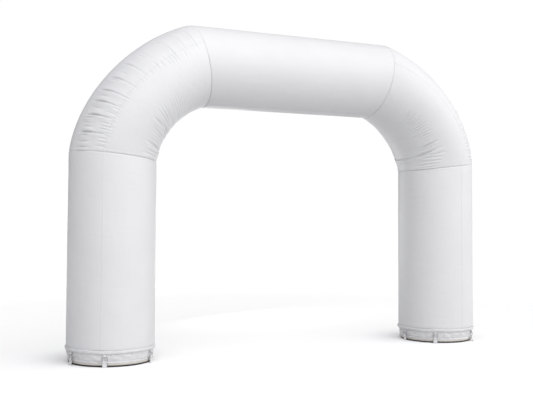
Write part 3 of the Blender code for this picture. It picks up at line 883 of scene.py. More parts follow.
@dataclass
class Bend:
    """A curved corner section, sewn from an outer panel and a wrap-around one along two curved seams."""

    arch: Arch
    side: Side
    rows: int = 412
    columns: int = 240
    # The seams' drift ends at this share of the length, and columns beyond this angle don't move with them.
    drift_end: float = 0.48
    still_angle: float = math.radians(125.0)
    # Behind this angle in degrees the folds are the front's, a little shallower.
    back_from: float = 200.0
    back_depth: float = 0.8
    channel: tuple[float, float] = (0.0032, 0.0036)
    # The seams' length, and the one that distances from a joint are taken on, as shares of the outer side's.
    seam_share: float = 0.86
    joint_share: float = 0.8
    ripple_cells: tuple[int, int] = (24, 14)
    ripple_seed: int = 21
    joint_gathers: Gathers = Gathers(0.030, 0.0016, 0.0075, 0.060, 0.060)
    slacks: Layers = ((0.0008, (16, 9)), (0.0007, (60, 34)))

    @property
    def cloth(self) -> BendCloth:
        """The settings of this side's cloth."""
        return BEND_CLOTH[self.side]

    def turned(self, t: Array, angle: Array) -> Array:
        """The columns' angles in each row: shifted with the seams, and by less the further off them."""
        drift = math.radians(self.cloth.seam_drift) * smooth((self.drift_end - t) / self.drift_end)[:, None]
        away = np.abs(around_turn(angle))
        line, still = math.radians(self.cloth.seam_angle), self.still_angle
        share = smooth(away / line) * smooth((still - away) / (still - line))
        return angle[None, :] - np.sign(around_turn(angle))[None, :] * drift * share[None, :]

    def edges(self, t: Array) -> tuple[Array, Array]:
        """The outer and inner edges in the X-Z plane: cubics from the leg joint to the beam joint."""
        arch = self.arch
        rise = arch.tube_radius * math.tan(arch.leg_joint_tilt)
        lean = arch.beam_radius * math.tan(arch.beam_joint_tilt)

        def cubic(start: Array, end: Array, kinks: tuple[float, float], pull: float) -> Array:
            """The cubic whose handles turn by its kinks off upright at the leg and off level at the beam."""
            handle = pull * np.linalg.norm(end - start)
            near = start + handle * np.array([-math.sin(kinks[0]), math.cos(kinks[0])])
            far = end - handle * np.array([-math.cos(kinks[1]), math.sin(kinks[1])])
            s = t[:, None]
            ends = (1 - s) ** 3 * start + s ** 3 * end
            return ends + 3 * (1 - s) ** 2 * s * near + 3 * (1 - s) * s * s * far

        outer = cubic(np.array([arch.leg_x + arch.tube_radius, arch.leg_joint_height + rise]),
                      np.array([arch.beam_joint_x + lean, arch.beam_height + arch.beam_radius]),
                      arch.outer_kinks, arch.outer_pull)
        inner = cubic(np.array([arch.leg_x - arch.tube_radius, arch.leg_joint_height - rise]),
                      np.array([arch.beam_joint_x - lean, arch.beam_height - arch.beam_radius]),
                      arch.inner_kinks, arch.inner_pull)
        return outer, inner

    def base(self, t: Array, angle: Array) -> Array:
        """The smooth section: each row is an ellipse between the edges, swollen at the bend's middle."""
        outer, inner = self.edges(t)
        middle, reach = (outer + inner) / 2, (outer - inner) / 2
        arch = self.arch
        depth = arch.tube_radius + (arch.beam_radius - arch.tube_radius) * t
        depth = depth + arch.bend_swell * np.sin(math.pi * t)
        cos, sin = np.cos(angle), np.sin(angle)
        x = middle[:, :1] + reach[:, :1] * cos
        z = middle[:, 1:] + reach[:, 1:] * cos
        return np.stack([x, -depth[:, None] * sin, z], axis=-1)

    def offset(self, t: Array, angle: Array, length: Array, seam: Array) -> Array:
        """How far the cloth stands off the smooth section: seams, puckers, folds, ripples and slack."""
        cloth, radius = self.cloth, self.arch.tube_radius
        degrees = np.degrees(self.turned(t, angle))
        behind = degrees > self.back_from
        rows, columns = t[:, None], np.where(behind, 360.0 - degrees, degrees)
        depth = np.where(behind, self.back_depth, 1.0)
        turn = angle[None, :] / TURN
        total = seam_channel(seam, *self.channel) + joint_draw(np.minimum(rows, 1 - rows) * length[None, :])
        for crease in cloth.creases:
            total = total + depth * crease.height(rows, columns, length[None, :])
        uneven = slack(turn, rows, self.ripple_cells, self.ripple_seed)
        for ripples in cloth.ripples:
            total = total + depth * ripples.field(rows, columns, uneven)
        longest = float(length.max())
        seam_length = longest * self.seam_share
        for number, sign in enumerate((1.0, -1.0)):
            across = around_turn(angle - math.radians(cloth.seam_angle) * sign) * -sign * radius
            total = total + cloth.gathers.field(cloth.seed + number, t * seam_length, across, seam_length,
                                                np.array(cloth.strength))
        for number, near in enumerate((t, 1 - t)):
            total = total + self.joint_gathers.field(cloth.seed + 10 + number, angle * radius,
                                                     near * longest * self.joint_share, radius * TURN).T
        return total + slack_layers(self.slacks, turn, rows, cloth.seed + 30)

    def grid(self) -> Grid:
        """The finished grid, closer at the joints, at the seams and where the folds lie."""
        line = self.cloth.seam_angle / 360.0
        t = crowded(self.rows, [(0.0, 0.020, 3.0), (1.0, 0.020, 3.0), (0.18, 0.16, 0.7)], closed=False)
        crowds = [(line, 0.009, 3.6), (1 - line, 0.009, 3.6), (0.36, 0.07, 0.3)]
        angle = crowded(self.columns, crowds, closed=True) * TURN
        outer, inner = self.edges(np.linspace(0, 1, 200))
        outside, inside = (float(np.linalg.norm(np.diff(e, axis=0), axis=1).sum()) for e in (outer, inner))
        length = (outside + inside) / 2 + (outside - inside) / 2 * np.cos(angle)
        seam = np.abs(around_turn(angle))[None, :] - math.radians(self.cloth.seam_angle)
        seam = np.abs(seam * self.arch.tube_radius) + 0 * t[:, None]
        points = self.base(t, self.turned(t, angle))
        points = points + normals(points) * self.offset(t, angle, length, seam)[..., None]
        points[0, :, 2] += self.arch.gap / 2
        points[-1, :, 0] += self.arch.gap / 2
        around = angle[None, :] * self.arch.tube_radius + 0 * t[:, None]
        along = t[:, None] * (outside + inside) / 2 + 0 * angle[None, :]
        joint = np.minimum(t, 1 - t)[:, None] * length[None, :]
        return Grid(mirrored(points, self.side), around, along, np.minimum(seam, joint))

    def build(self, finishes: Finishes) -> Piece:
        """Makes the section and has it stand for its solid."""
        name = f"bend_cloth_{self.side.word}"
        piece = grid_object(name, self.grid(), finishes.cloth, flip=self.side is Side.LEFT)
        place_piece(piece, f"bend_{self.side.word}")
        return piece


@dataclass
class Leg:
    """An upright section, from the seat of its welt to its tilted joint with the bend."""

    arch: Arch
    foot: FootSizes
    side: Side
    rows: int = 240
    columns: int = 210
    channel: tuple[float, float] = (0.0018, 0.0042)
    # How deep the cloth is tucked at the welt, and over what height.
    tuck: tuple[float, float] = (0.004, 0.011)
    seam_gathers: Gathers = Gathers(0.034, 0.0006, 0.0090, 0.045, 0.045)
    upper_gathers: Gathers = Gathers(0.028, 0.0015, 0.0075, 0.070, 0.070)
    lower_gathers: Gathers = Gathers(0.040, 0.0012, 0.0100, 0.045, 0.045)
    slacks: Layers = (
        (0.0014, (9, 7)), (0.0006, (22, 60)), (0.0004, (70, 16)))

    @property
    def seam_angle(self) -> float:
        """The angle of the lengthwise seam off the outer side, in degrees."""
        return 62.0 if self.side is Side.LEFT else 82.5

    def offset(self, share: Array, angle: Array, length: Array, seam: Array) -> Array:
        """How far the cloth stands off a true cylinder: seam, puckers at both ends and slack."""
        radius = self.arch.tube_radius
        seed = 300 if self.side is Side.LEFT else 400
        rows = share[:, None]
        total = seam_channel(seam, *self.channel) + joint_draw((1 - rows) * length[None, :])
        total = total - self.tuck[0] * bell(rows * length[None, :] / self.tuck[1], 1.3)
        across = around_turn(angle - math.radians(self.seam_angle)) * radius
        mean, round_it = float(length.mean()), radius * TURN
        total = total + self.seam_gathers.field(seed, share * mean, across, mean)
        total = total + self.upper_gathers.field(seed + 1, angle * radius, (1 - share) * mean, round_it).T
        total = total + self.lower_gathers.field(seed + 2, angle * radius, share * mean, round_it).T
        return total + slack_layers(self.slacks, angle[None, :] / TURN, rows, seed + 3)

    def grid(self) -> Grid:
        """The finished grid: upright lines from the welt to the joint's tilted plane, on a short neck."""
        arch, foot = self.arch, self.foot
        line = self.seam_angle / 360.0
        share = crowded(self.rows, [(0.0, 0.02, 4.0), (1.0, 0.022, 4.0), (0.95, 0.06, 0.8)], closed=False)
        angle = crowded(self.columns, [(line, 0.012, 2.5)], True) * TURN
        top = arch.leg_joint_height - arch.gap / 2
        top = top + arch.tube_radius * np.cos(angle) * math.tan(arch.leg_joint_tilt)
        bottom = foot.welt_top + arch.gap
        length = top - bottom
        seam = np.abs(around_turn(angle - math.radians(self.seam_angle))) * arch.tube_radius
        seam = seam[None, :] + 0 * share[:, None]
        radius = arch.tube_radius + self.offset(share, angle, length, seam)
        height = bottom + share[:, None] * length[None, :]
        joint = (1 - share[:, None]) * length[None, :]
        neck_height = np.array([(foot.welt_bottom + foot.welt_top) / 2 + arch.gap / 2, foot.welt_top - 0.006])
        neck_height = neck_height[:, None] + 0 * angle[None, :]
        neck = np.full_like(neck_height, foot.welt_seat)
        radius, height = np.concatenate([neck, radius]), np.concatenate([neck_height, height])
        far = np.ones_like(neck)
        seam = np.minimum(np.concatenate([far, seam]), np.concatenate([far, joint]))
        points = np.stack([arch.leg_x + radius * np.cos(angle), -radius * np.sin(angle), height], axis=-1)
        around = angle[None, :] * arch.tube_radius + 0 * height
        return Grid(mirrored(points, self.side), around, height, seam)

    def build(self, finishes: Finishes) -> Piece:
        """Makes the section and has it stand for its solid."""
        piece = grid_object(f"leg_cloth_{self.side.word}", self.grid(), finishes.cloth,
                            flip=self.side is Side.LEFT)
        place_piece(piece, f"leg_{self.side.word}")
        return piece


@dataclass
class Beam:
    """The level section between the bends, with one seam along its underside."""

    arch: Arch
    rows: int = 220
    columns: int = 250
    seam_angle: float = 162.0
    seed: int = 500
    channel: tuple[float, float] = (0.0024, 0.0045)
    seam_gathers: Gathers = Gathers(0.030, 0.0009, 0.0080, 0.050, 0.050)
    joint_gathers: Gathers = Gathers(0.028, 0.0016, 0.0075, 0.075, 0.075)
    slacks: Layers = (
        (0.0014, (8, 5)), (0.0004, (56, 4)), (0.0004, (90, 12)))

    def offset(self, share: Array, angle: Array, length: Array, seam: Array) -> Array:
        """How far the cloth stands off a true cylinder: seam, puckers at both ends and long streaks."""
        radius = self.arch.beam_radius
        rows = share[:, None]
        mean = float(length.mean())
        total = seam_channel(seam, *self.channel) + joint_draw(np.minimum(rows, 1 - rows) * length[None, :])
        for number, near in enumerate((share, 1 - share)):
            total = total + self.joint_gathers.field(self.seed + number, angle * radius, near * mean,
                                                     radius * TURN).T
        across = around_turn(angle - math.radians(self.seam_angle)) * radius
        total = total + self.seam_gathers.field(self.seed + 2, share * mean, across, mean)
        return total + slack_layers(self.slacks, angle[None, :] / TURN, rows, self.seed + 3)

    def grid(self) -> Grid:
        """The finished grid: level lines between the two leaning joints. Angle 0 is the top, 90 the front."""
        arch = self.arch
        share = crowded(self.rows, [(0.0, 0.022, 4.0), (1.0, 0.022, 4.0)], closed=False)
        angle = crowded(self.columns, [(self.seam_angle / 360.0, 0.012, 2.4)], True) * TURN
        reach = arch.beam_joint_x - arch.gap / 2
        reach = reach + arch.beam_radius * np.cos(angle) * math.tan(arch.beam_joint_tilt)
        length = 2 * reach
        seam = np.abs(around_turn(angle - math.radians(self.seam_angle))) * arch.beam_radius
        seam = seam[None, :] + 0 * share[:, None]
        radius = arch.beam_radius + self.offset(share, angle, length, seam)
        x = -reach[None, :] + share[:, None] * length[None, :]
        points = np.stack([x, -radius * np.sin(angle), arch.beam_height + radius * np.cos(angle)], axis=-1)
        joint = np.minimum(share, 1 - share)[:, None] * length[None, :]
        around = angle[None, :] * arch.beam_radius + 0 * x
        return Grid(points, around, x, np.minimum(seam, joint))

    def build(self, finishes: Finishes) -> Piece:
        """Makes the section and has it stand for its solid."""
        piece = grid_object("beam_cloth", self.grid(), finishes.cloth, flip=True)
        place_piece(piece, "beam")
        return piece


@dataclass
class Foot:
    """Everything under a leg but its anchors: skirt band, welt, rolled edge and base sheet."""

    arch: Arch
    sizes: FootSizes
    side: Side
    columns: int = 420
    # The skirt's stitches: how far above its foot they run, how deep they draw it in and over what height.
    stitch_rise: float = 0.019
    stitch_draw: tuple[float, float] = (0.0050, 0.0055)
    skirt_rows: int = 54
    stitch_gathers: Gathers = Gathers(0.018, 0.0036, 0.0052, 0.026, 0.015)
    welt_gathers: Gathers = Gathers(0.034, 0.0044, 0.0090, 0.070, 0.070)
    # How square the rolled pieces' outlines are: the powers that cosine and sine are drawn out by.
    welt_powers: tuple[float, float] = (0.62, 0.75)
    edge_powers: tuple[float, float] = (0.70, 0.70)
    # The skirt's loose creases: height, slant in turns, lattice, and how far they lean inwards, from 0 to 1.
    skirt_creases: tuple[tuple[float, float, tuple[int, int], float], ...] = (
        (0.0042, 0.014, (46, 3), 0.5), (0.0032, -0.022, (84, 4), 0.4))
    # How far the welt wanders out and up, how deep its puckers are, and how far its underside sags.
    welt_wander: float = 0.0030
    welt_pucker: float = 0.0026
    welt_sag: float = 0.0025
    edge_wander: float = 0.0014
    edge_pucker: float = 0.0012
    # How far the cream edge is tucked in under its outer side.
    edge_tuck: float = 0.0040
    base_bulge: float = 0.0060
    base_wave: float = 0.0010

    @property
    def angle(self) -> Array:
        """Angles round the foot, from its outer side over the front, at even steps."""
        return np.arange(self.columns) / self.columns * TURN

    @property
    def seed(self) -> int:
        """The first of this foot's random sets."""
        return 600 if self.side is Side.LEFT else 700

    def compass(self, angle: Array) -> Array:
        """An angle off the outer side, as an angle off the front (-Y) towards +X."""
        return angle - math.pi / 2 if self.side is Side.LEFT else math.pi / 2 - angle

    def skirt_radius(self, compass: Array, height: Array) -> Array:
        """The band's radius as in the solid: drawn in towards the floor, with slow creases round it."""
        s = self.sizes
        down = np.clip((s.welt_bottom - height) / (s.welt_bottom - s.edge_top), 0, 1)
        taper = s.skirt_top_radius + (s.skirt_foot_radius - s.skirt_top_radius) * down ** 1.4
        shift = 0.8 if self.side is Side.LEFT else 2.1
        crease = np.sin(7 * compass + shift) * np.sin(11 * compass + 5 * down)
        return taper + s.skirt_crease * crease * np.sin(math.pi * down)

    def ring_grid(self, radius: Array, height: Array, seam: Array | None = None) -> Grid:
        """A grid round the foot's axis from radii and heights, a row for each place up its profile."""
        angle = self.angle[None, :]
        radius, height, angle = np.broadcast_arrays(radius, height, angle)
        x, y = self.arch.leg_x + radius * np.cos(angle), -radius * np.sin(angle)
        points = np.stack([x, y, height], axis=-1)
        step = np.hypot(np.diff(radius, axis=0), np.diff(height, axis=0))
        along = np.concatenate([np.zeros((1, angle.shape[1])), np.cumsum(step, axis=0)])
        far = np.ones_like(radius) if seam is None else seam
        return Grid(mirrored(points, self.side), angle * self.sizes.edge_radius, along, far)

    def skirt(self, finishes: Finishes) -> Piece:
        """The band: loose slanted creases, a drawn-in row of stitches near its foot, and its two necks."""
        s, gap = self.sizes, self.arch.gap
        height = np.linspace(s.edge_top + gap, s.welt_bottom - gap, self.skirt_rows)
        up = (height - height[0]) / (height[-1] - height[0])
        angle = self.angle
        turn, rows = angle[None, :] / TURN, up[:, None]
        radius = self.skirt_radius(self.compass(angle)[None, :], height[:, None])
        loose = window(rows, -0.25, 1.25, 0.35)
        total = np.zeros_like(radius)
        for number, (depth, slant, cells, inward) in enumerate(self.skirt_creases):
            crease = slack(turn + slant * rows, rows, cells, self.seed + number)
            total = total + depth * loose * (crease - inward)
        stitch_row = s.edge_top + self.stitch_rise
        draw, draw_height = self.stitch_draw
        total = total - draw * bell((height[:, None] - stitch_row) / draw_height, 1.6)
        length, along = TURN * s.edge_radius, angle * s.edge_radius
        total = total + self.stitch_gathers.field(self.seed + 2, along, height - stitch_row, length).T
        total = total + self.welt_gathers.field(self.seed + 3, along, s.welt_bottom - height, length).T
        # The finish draws its stitches this far off a seam, so that they fall on the row.
        off_seam = CoatedCloth.stitch_off_seam
        seam = np.abs(height[:, None] - stitch_row) + off_seam + 0 * angle[None, :]
        radius = radius + total
        low = np.array([[s.base_thickness + gap], [s.edge_top - 0.002]])
        high = np.array([[s.welt_bottom + 0.002], [(s.welt_bottom + s.welt_top) / 2 - gap / 2]])
        wide, neck = np.ones((1, self.columns)), np.ones((2, self.columns))
        radius = np.concatenate([s.edge_seat * neck, radius, s.welt_seat * neck])
        heights = np.concatenate([low * wide, height[:, None] * wide, high * wide])
        seam = np.concatenate([neck, seam, neck])
        piece = grid_object(f"skirt_cloth_{self.side.word}", self.ring_grid(radius, heights, seam),
                            finishes.cloth, flip=self.side is Side.LEFT)
        place_piece(piece, f"skirt_{self.side.word}")
        return piece

    @staticmethod
    def rounded_box(points: int, powers: tuple[float, float]) -> tuple[Array, Array]:
        """A rounded box's sides and heights from -1 to 1: cosine and sine drawn out to its corners."""
        turn = np.linspace(0, TURN, points, endpoint=False)
        cos, sin = np.cos(turn), np.sin(turn)
        return np.sign(cos) * np.abs(cos) ** powers[0], np.sign(sin) * np.abs(sin) ** powers[1]

    def welt(self, finishes: Finishes) -> Piece:
        """The padded fold: a rounded outline that wanders in and out and up and down, with tight puckers."""
        s = self.sizes
        middle, half = (s.welt_bottom + s.welt_top) / 2, (s.welt_top - s.welt_bottom) / 2
        thick = s.welt_radius - s.welt_seat - self.arch.gap
        side, up = self.rounded_box(26, self.welt_powers)
        outward = s.welt_seat + self.arch.gap + thick / 2 * (1 + side[:, None])
        up = up[:, None]
        share = self.angle[None, :] / TURN
        free = smooth((outward - s.welt_seat) / thick * 1.6)
        out = self.welt_wander * slack(share, 0 * share, (26, 1), self.seed + 5)
        out = out + self.welt_pucker * slack(share + 0.006 * up, 0.5 + 0.5 * up, (110, 2), self.seed + 6)
        rise = self.welt_wander * slack(share, 0 * share, (18, 1), self.seed + 7)
        sag = 1 + slack(share, 0 * share, (40, 1), self.seed + 8)
        rise = rise - self.welt_sag * free * smooth(-up) * sag
        radius, height = outward + (out - 0.001) * free, middle + half * up + rise * free
        piece = grid_object(f"welt_cloth_{self.side.word}", self.ring_grid(radius, height), finishes.welt,
                            capped=False, flip=self.side is Side.LEFT)
        place_piece(piece, f"welt_{self.side.word}")
        return piece

    def edge(self, finishes: Finishes) -> Piece:
        """The cream edge: a flattened roll, creased across where it is gathered to the base sheet."""
        s, gap = self.sizes, self.arch.gap
        low, high = s.rim_height + gap, s.edge_top - gap
        side, up = (part[:, None] for part in self.rounded_box(18, self.edge_powers))
        thick = s.edge_radius - s.edge_seat - gap
        tucked = self.edge_tuck * (up < 0) * side * (side > 0)
        outward = s.edge_seat + gap + thick / 2 * (1 + side) - tucked
        share = self.angle[None, :] / TURN
        free = smooth((outward - s.edge_seat) / thick * 1.5)
        out = self.edge_pucker * slack(share, 0.5 + 0.5 * up, (150, 2), self.seed + 10)
        out = out + self.edge_wander * slack(share, 0 * share, (22, 1), self.seed + 11)
        radius, height = outward + out * free, (low + high) / 2 + (high - low) / 2 * up + 0 * out
        piece = grid_object(f"edge_cloth_{self.side.word}", self.ring_grid(radius, height), finishes.edge,
                            capped=False, flip=self.side is Side.LEFT)
        place_piece(piece, f"edge_{self.side.word}")
        return piece

    def base(self, finishes: Finishes) -> Piece:
        """The dark base sheet: a disc with a rounded, slightly thicker rim that waves a little. Its black is
        partly painted shadow: the rim stands for the contact shadow under the rolled edge as well as for the
        sheet.
        """
        s = self.sizes
        turn = np.linspace(-math.pi / 2, math.pi / 2, 9)
        half = s.rim_height / 2
        radius = s.base_radius - self.base_bulge / 2 + self.base_bulge * np.cos(turn)
        radius = np.append(radius, [s.edge_seat + 0.003, s.edge_seat + 0.001])[:, None]
        height = np.append(half + half * np.sin(turn), [s.rim_height, s.base_thickness])[:, None]
        share = self.angle[None, :] / TURN
        radius = radius + self.base_wave * slack(share, 0 * share, (34, 1), self.seed + 12)
        piece = grid_object(f"base_cloth_{self.side.word}", self.ring_grid(radius, height + 0 * radius),
                            finishes.base, flip=self.side is Side.LEFT)
        place_piece(piece, f"base_{self.side.word}")
        return piece

    def build(self, finishes: Finishes) -> list[Piece]:
        """Makes the four pieces of the foot."""
        return [self.base(finishes), self.edge(finishes), self.skirt(finishes), self.welt(finishes)]


@dataclass(frozen=True)
class Anchor:
    """A hanger tab, its steel ring and its strap, at an angle round a foot off the front, in metres."""

    foot: Foot
    number: int
    degrees: float
    kick: float
    ring_radius: float = 0.029
    wire: float = 0.0035
    ring_z: float = 0.093
    stand_off: float = 0.0105
    webbing: float = 0.0016
    layer_gap: float = 0.0004
    hanger_width: float = 0.026
    strap_top_width: float = 0.042
    strap_width: float = 0.050
    strap_end_z: float = 0.0024
    closed_at: float = 0.6
    # How loosely the webbing lies round the wire, and how far a tab stands off the skirt.
    looseness: float = 0.0006
    off_skirt: float = 0.0012
    wave: float = 0.001

    @property
    def angle(self) -> float:
        """The anchor's angle off the front, in radians."""
        return math.radians(self.degrees)

    @property
    def plane(self) -> float:
        """How far the ring's plane stands from the foot's axis."""
        top = np.array(self.ring_z + self.ring_radius)
        return float(self.foot.skirt_radius(np.array(self.angle), top)) + self.stand_off

    @property
    def clear(self) -> float:
        """From the wire's middle line to that of the webbing bent round it."""
        return self.wire + self.foot.arch.gap + self.webbing / 2 + self.looseness

    def world(self, across: Array, out: Array, height: Array) -> Array:
        """World points from a place along the foot's tangent, out from its axis, and a height."""
        centre = self.foot.side.value * self.foot.arch.leg_x
        across, out, height = np.broadcast_arrays(across, out, height)
        x = centre + out * math.sin(self.angle) + across * math.cos(self.angle)
        y = -out * math.cos(self.angle) + across * math.sin(self.angle)
        return np.stack([x, y, height], axis=-1)

    def wire_line(self, across: Array, sign: float) -> tuple[Array, Array]:
        """The wire's height above (+1) or below (-1) the ring's middle, and how steeply it runs there."""
        height = np.sqrt(self.ring_radius ** 2 - across ** 2)
        return self.ring_z + sign * height, self.ring_radius / height

    def band(self, name: str, across: Array, out: Array, height: Array, fold: int,
             finishes: Finishes) -> tuple[Piece, float]:
        """Webbing along a path: its middle line given a thickness square to the path, thinner at its edges.

        Args:
            name: The piece's name.
            across: Places across the webbing.
            out: The middle line's distance from the foot's axis.
            height: Its height.
            fold: The row where it bends round the ring, from which its UV is measured.
            finishes: The shared finishes.

        Returns:
            The piece and its length along the path.
        """
        across, out, height = np.broadcast_arrays(across, out, height)
        step_out, step_up = np.gradient(out, axis=0), np.gradient(height, axis=0)
        size = np.hypot(step_out, step_up)
        share = np.linspace(-1, 1, across.shape[1])[None, :]
        half = self.webbing / 2 * (1 - 0.25 * np.abs(share) ** 6)
        shift_out, shift_up = -step_up / size * half, step_out / size * half
        front = self.world(across, out + shift_out, height + shift_up)
        back = self.world(across, out - shift_out, height - shift_up)
        points = np.concatenate([front, back[:, ::-1]], axis=1)
        run = np.hypot(np.diff(out.mean(axis=1)), np.diff(height.mean(axis=1)))
        place = np.concatenate([[0.0], np.cumsum(run)])
        along = np.abs(place - place[fold])[:, None] + 0 * points[..., 0]
        width = np.concatenate([across, across[:, ::-1]], axis=1)
        grid = Grid(points, width, along, np.ones_like(width))
        piece = grid_object(name, grid, finishes.webbing)
        return piece, float(place[-1])

    def hanger(self, finishes: Finishes) -> Piece:
        """The tab: down from under the welt behind the ring, round under its wire and up its front."""
        foot = self.foot
        across = np.linspace(-0.5, 0.5, 13)[None, :] * self.hanger_width
        wire, slope = self.wire_line(across, 1.0)
        top = foot.sizes.welt_bottom - self.webbing
        skirt = float(foot.skirt_radius(np.array(self.angle), np.array(top)))
        bow = across ** 2 / (2 * foot.sizes.skirt_top_radius)
        behind = skirt + foot.arch.gap + self.webbing / 2 + self.off_skirt - bow
        before = behind + self.webbing + self.layer_gap
        plane, clear = self.plane, self.clear
        share = np.linspace(0, 1, 9)[:-1, None]
        turn = np.linspace(math.pi, TURN, 15)[:, None]
        out = np.concatenate([behind + (plane - clear - behind) * smooth(share),
                              plane + clear * np.cos(turn) + 0 * across,
                              before + (plane + clear - before) * smooth(share[::-1])])
        height = np.concatenate([top + (wire - top) * share, wire + clear * slope * np.sin(turn),
                                 top + (wire - top) * share[::-1]])
        name = f"hanger_webbing_{foot.side.word}_{self.number}"
        piece, length = self.band(name, across, out, height, len(share) + len(turn) // 2, finishes)
        place_piece(piece, f"hanger_{foot.side.word}_{self.number}")
        return piece

    def ring(self, finishes: Finishes) -> Piece:
        """The ring: a round wire carried round a circle, swollen a little where its ends are welded."""
        turn = np.linspace(0, TURN, 56, endpoint=False)[:, None]
        section = np.linspace(0, TURN, 14, endpoint=False)[None, :]
        weld = 1 + 0.14 * bell(around_turn(turn - math.radians(75)) / 0.10)
        radius = self.wire * weld * 0.97
        reach = self.ring_radius + radius * np.cos(section)
        points = self.world(reach * np.sin(turn), self.plane + radius * np.sin(section), self.ring_z
                            + reach * np.cos(turn))
        around = section * self.wire + 0 * turn
        grid = Grid(points, around, turn * self.ring_radius + 0 * section, np.ones_like(around))
        name = f"ring_steel_{self.foot.side.word}_{self.number}"
        piece = grid_object(name, grid, finishes.steel, capped=False, flip=True)
        return place_piece(piece, f"ring_{self.foot.side.word}_{self.number}")

    def strap(self, finishes: Finishes) -> Piece:
        """The strap: up from the floor in front, over the ring's lower wire and down behind, then sewn."""
        share = np.linspace(-0.5, 0.5, 17)[None, :]
        wire, slope = self.wire_line(share * self.strap_top_width, -1.0)
        plane, clear = self.plane, self.clear
        pair = (self.webbing + self.layer_gap) / 2
        fall = np.linspace(0, 1, 22)[:, None]
        ease = smooth(np.minimum(1.0, fall / self.closed_at))
        half_gap = clear + (pair - clear) * ease
        lowest = self.ring_z - self.ring_radius
        wave = self.wave * np.sin(3.0 * fall * math.pi + self.number) * fall * (1 - fall)
        lean = self.kick * fall ** 2 + wave
        slant = np.arctan2(np.gradient(lean, axis=0), np.gradient(lowest * fall, axis=0))
        level = wire + (lowest - wire) * ease
        middle = level + (self.strap_end_z - level) * fall
        width = share * (self.strap_top_width + (self.strap_width - self.strap_top_width) * ease)
        turn = np.linspace(0, math.pi, 17)[1:-1, None]
        legs = [(plane + lean + sign * half_gap * np.cos(slant) + 0 * share,
                 middle + sign * half_gap * np.sin(slant)) for sign in (1, -1)]
        out = np.concatenate([legs[0][0][::-1], plane + clear * np.cos(turn) + 0 * share, legs[1][0]])
        height = np.concatenate([legs[0][1][::-1], wire + clear * slope * np.sin(turn), legs[1][1]])
        across = np.concatenate([width[::-1], share * self.strap_top_width + 0 * turn, width])
        name = f"strap_webbing_{self.foot.side.word}_{self.number}"
        piece, length = self.band(name, across, out, height, len(fall) + len(turn) // 2, finishes)
        place_piece(piece, f"strap_{self.foot.side.word}_{self.number}")
        return piece

    def build(self, finishes: Finishes) -> list[Piece]:
        """Makes the tab, the ring and the strap."""
        return [self.hanger(finishes), self.ring(finishes), self.strap(finishes)]


# Each anchor's angle round its foot off the front, in degrees, and how far its strap kicks out, in metres.
ANCHORS: dict[Side, tuple[tuple[float, float], ...]] = {
    Side.LEFT: ((-73.0, 0.014), (-21.5, 0.005), (48.5, 0.012),
                (108.0, 0.008), (168.0, 0.006), (227.0, 0.010)),
    Side.RIGHT: ((-88.0, 0.008), (-36.0, 0.006), (34.5, 0.030),
                 (94.0, 0.008), (153.0, 0.006), (213.0, 0.012)),
}


@dataclass(frozen=True)
class Panel:
    """A wide soft light in the surround: its angle off the front towards +X, its height and its spread."""

    azimuth: float
    elevation: float
    tightness: float
    strength: float
    tint: tuple[float, float, float] = (1.0, 1.0, 1.0)

    @property
    def axis(self) -> tuple[float, float, float]:
        """The direction towards the panel's middle."""
        azimuth, elevation = math.radians(self.azimuth), math.radians(self.elevation)
        level = math.cos(elevation)
        return math.sin(azimuth) * level, -math.cos(azimuth) * level, math.sin(elevation)


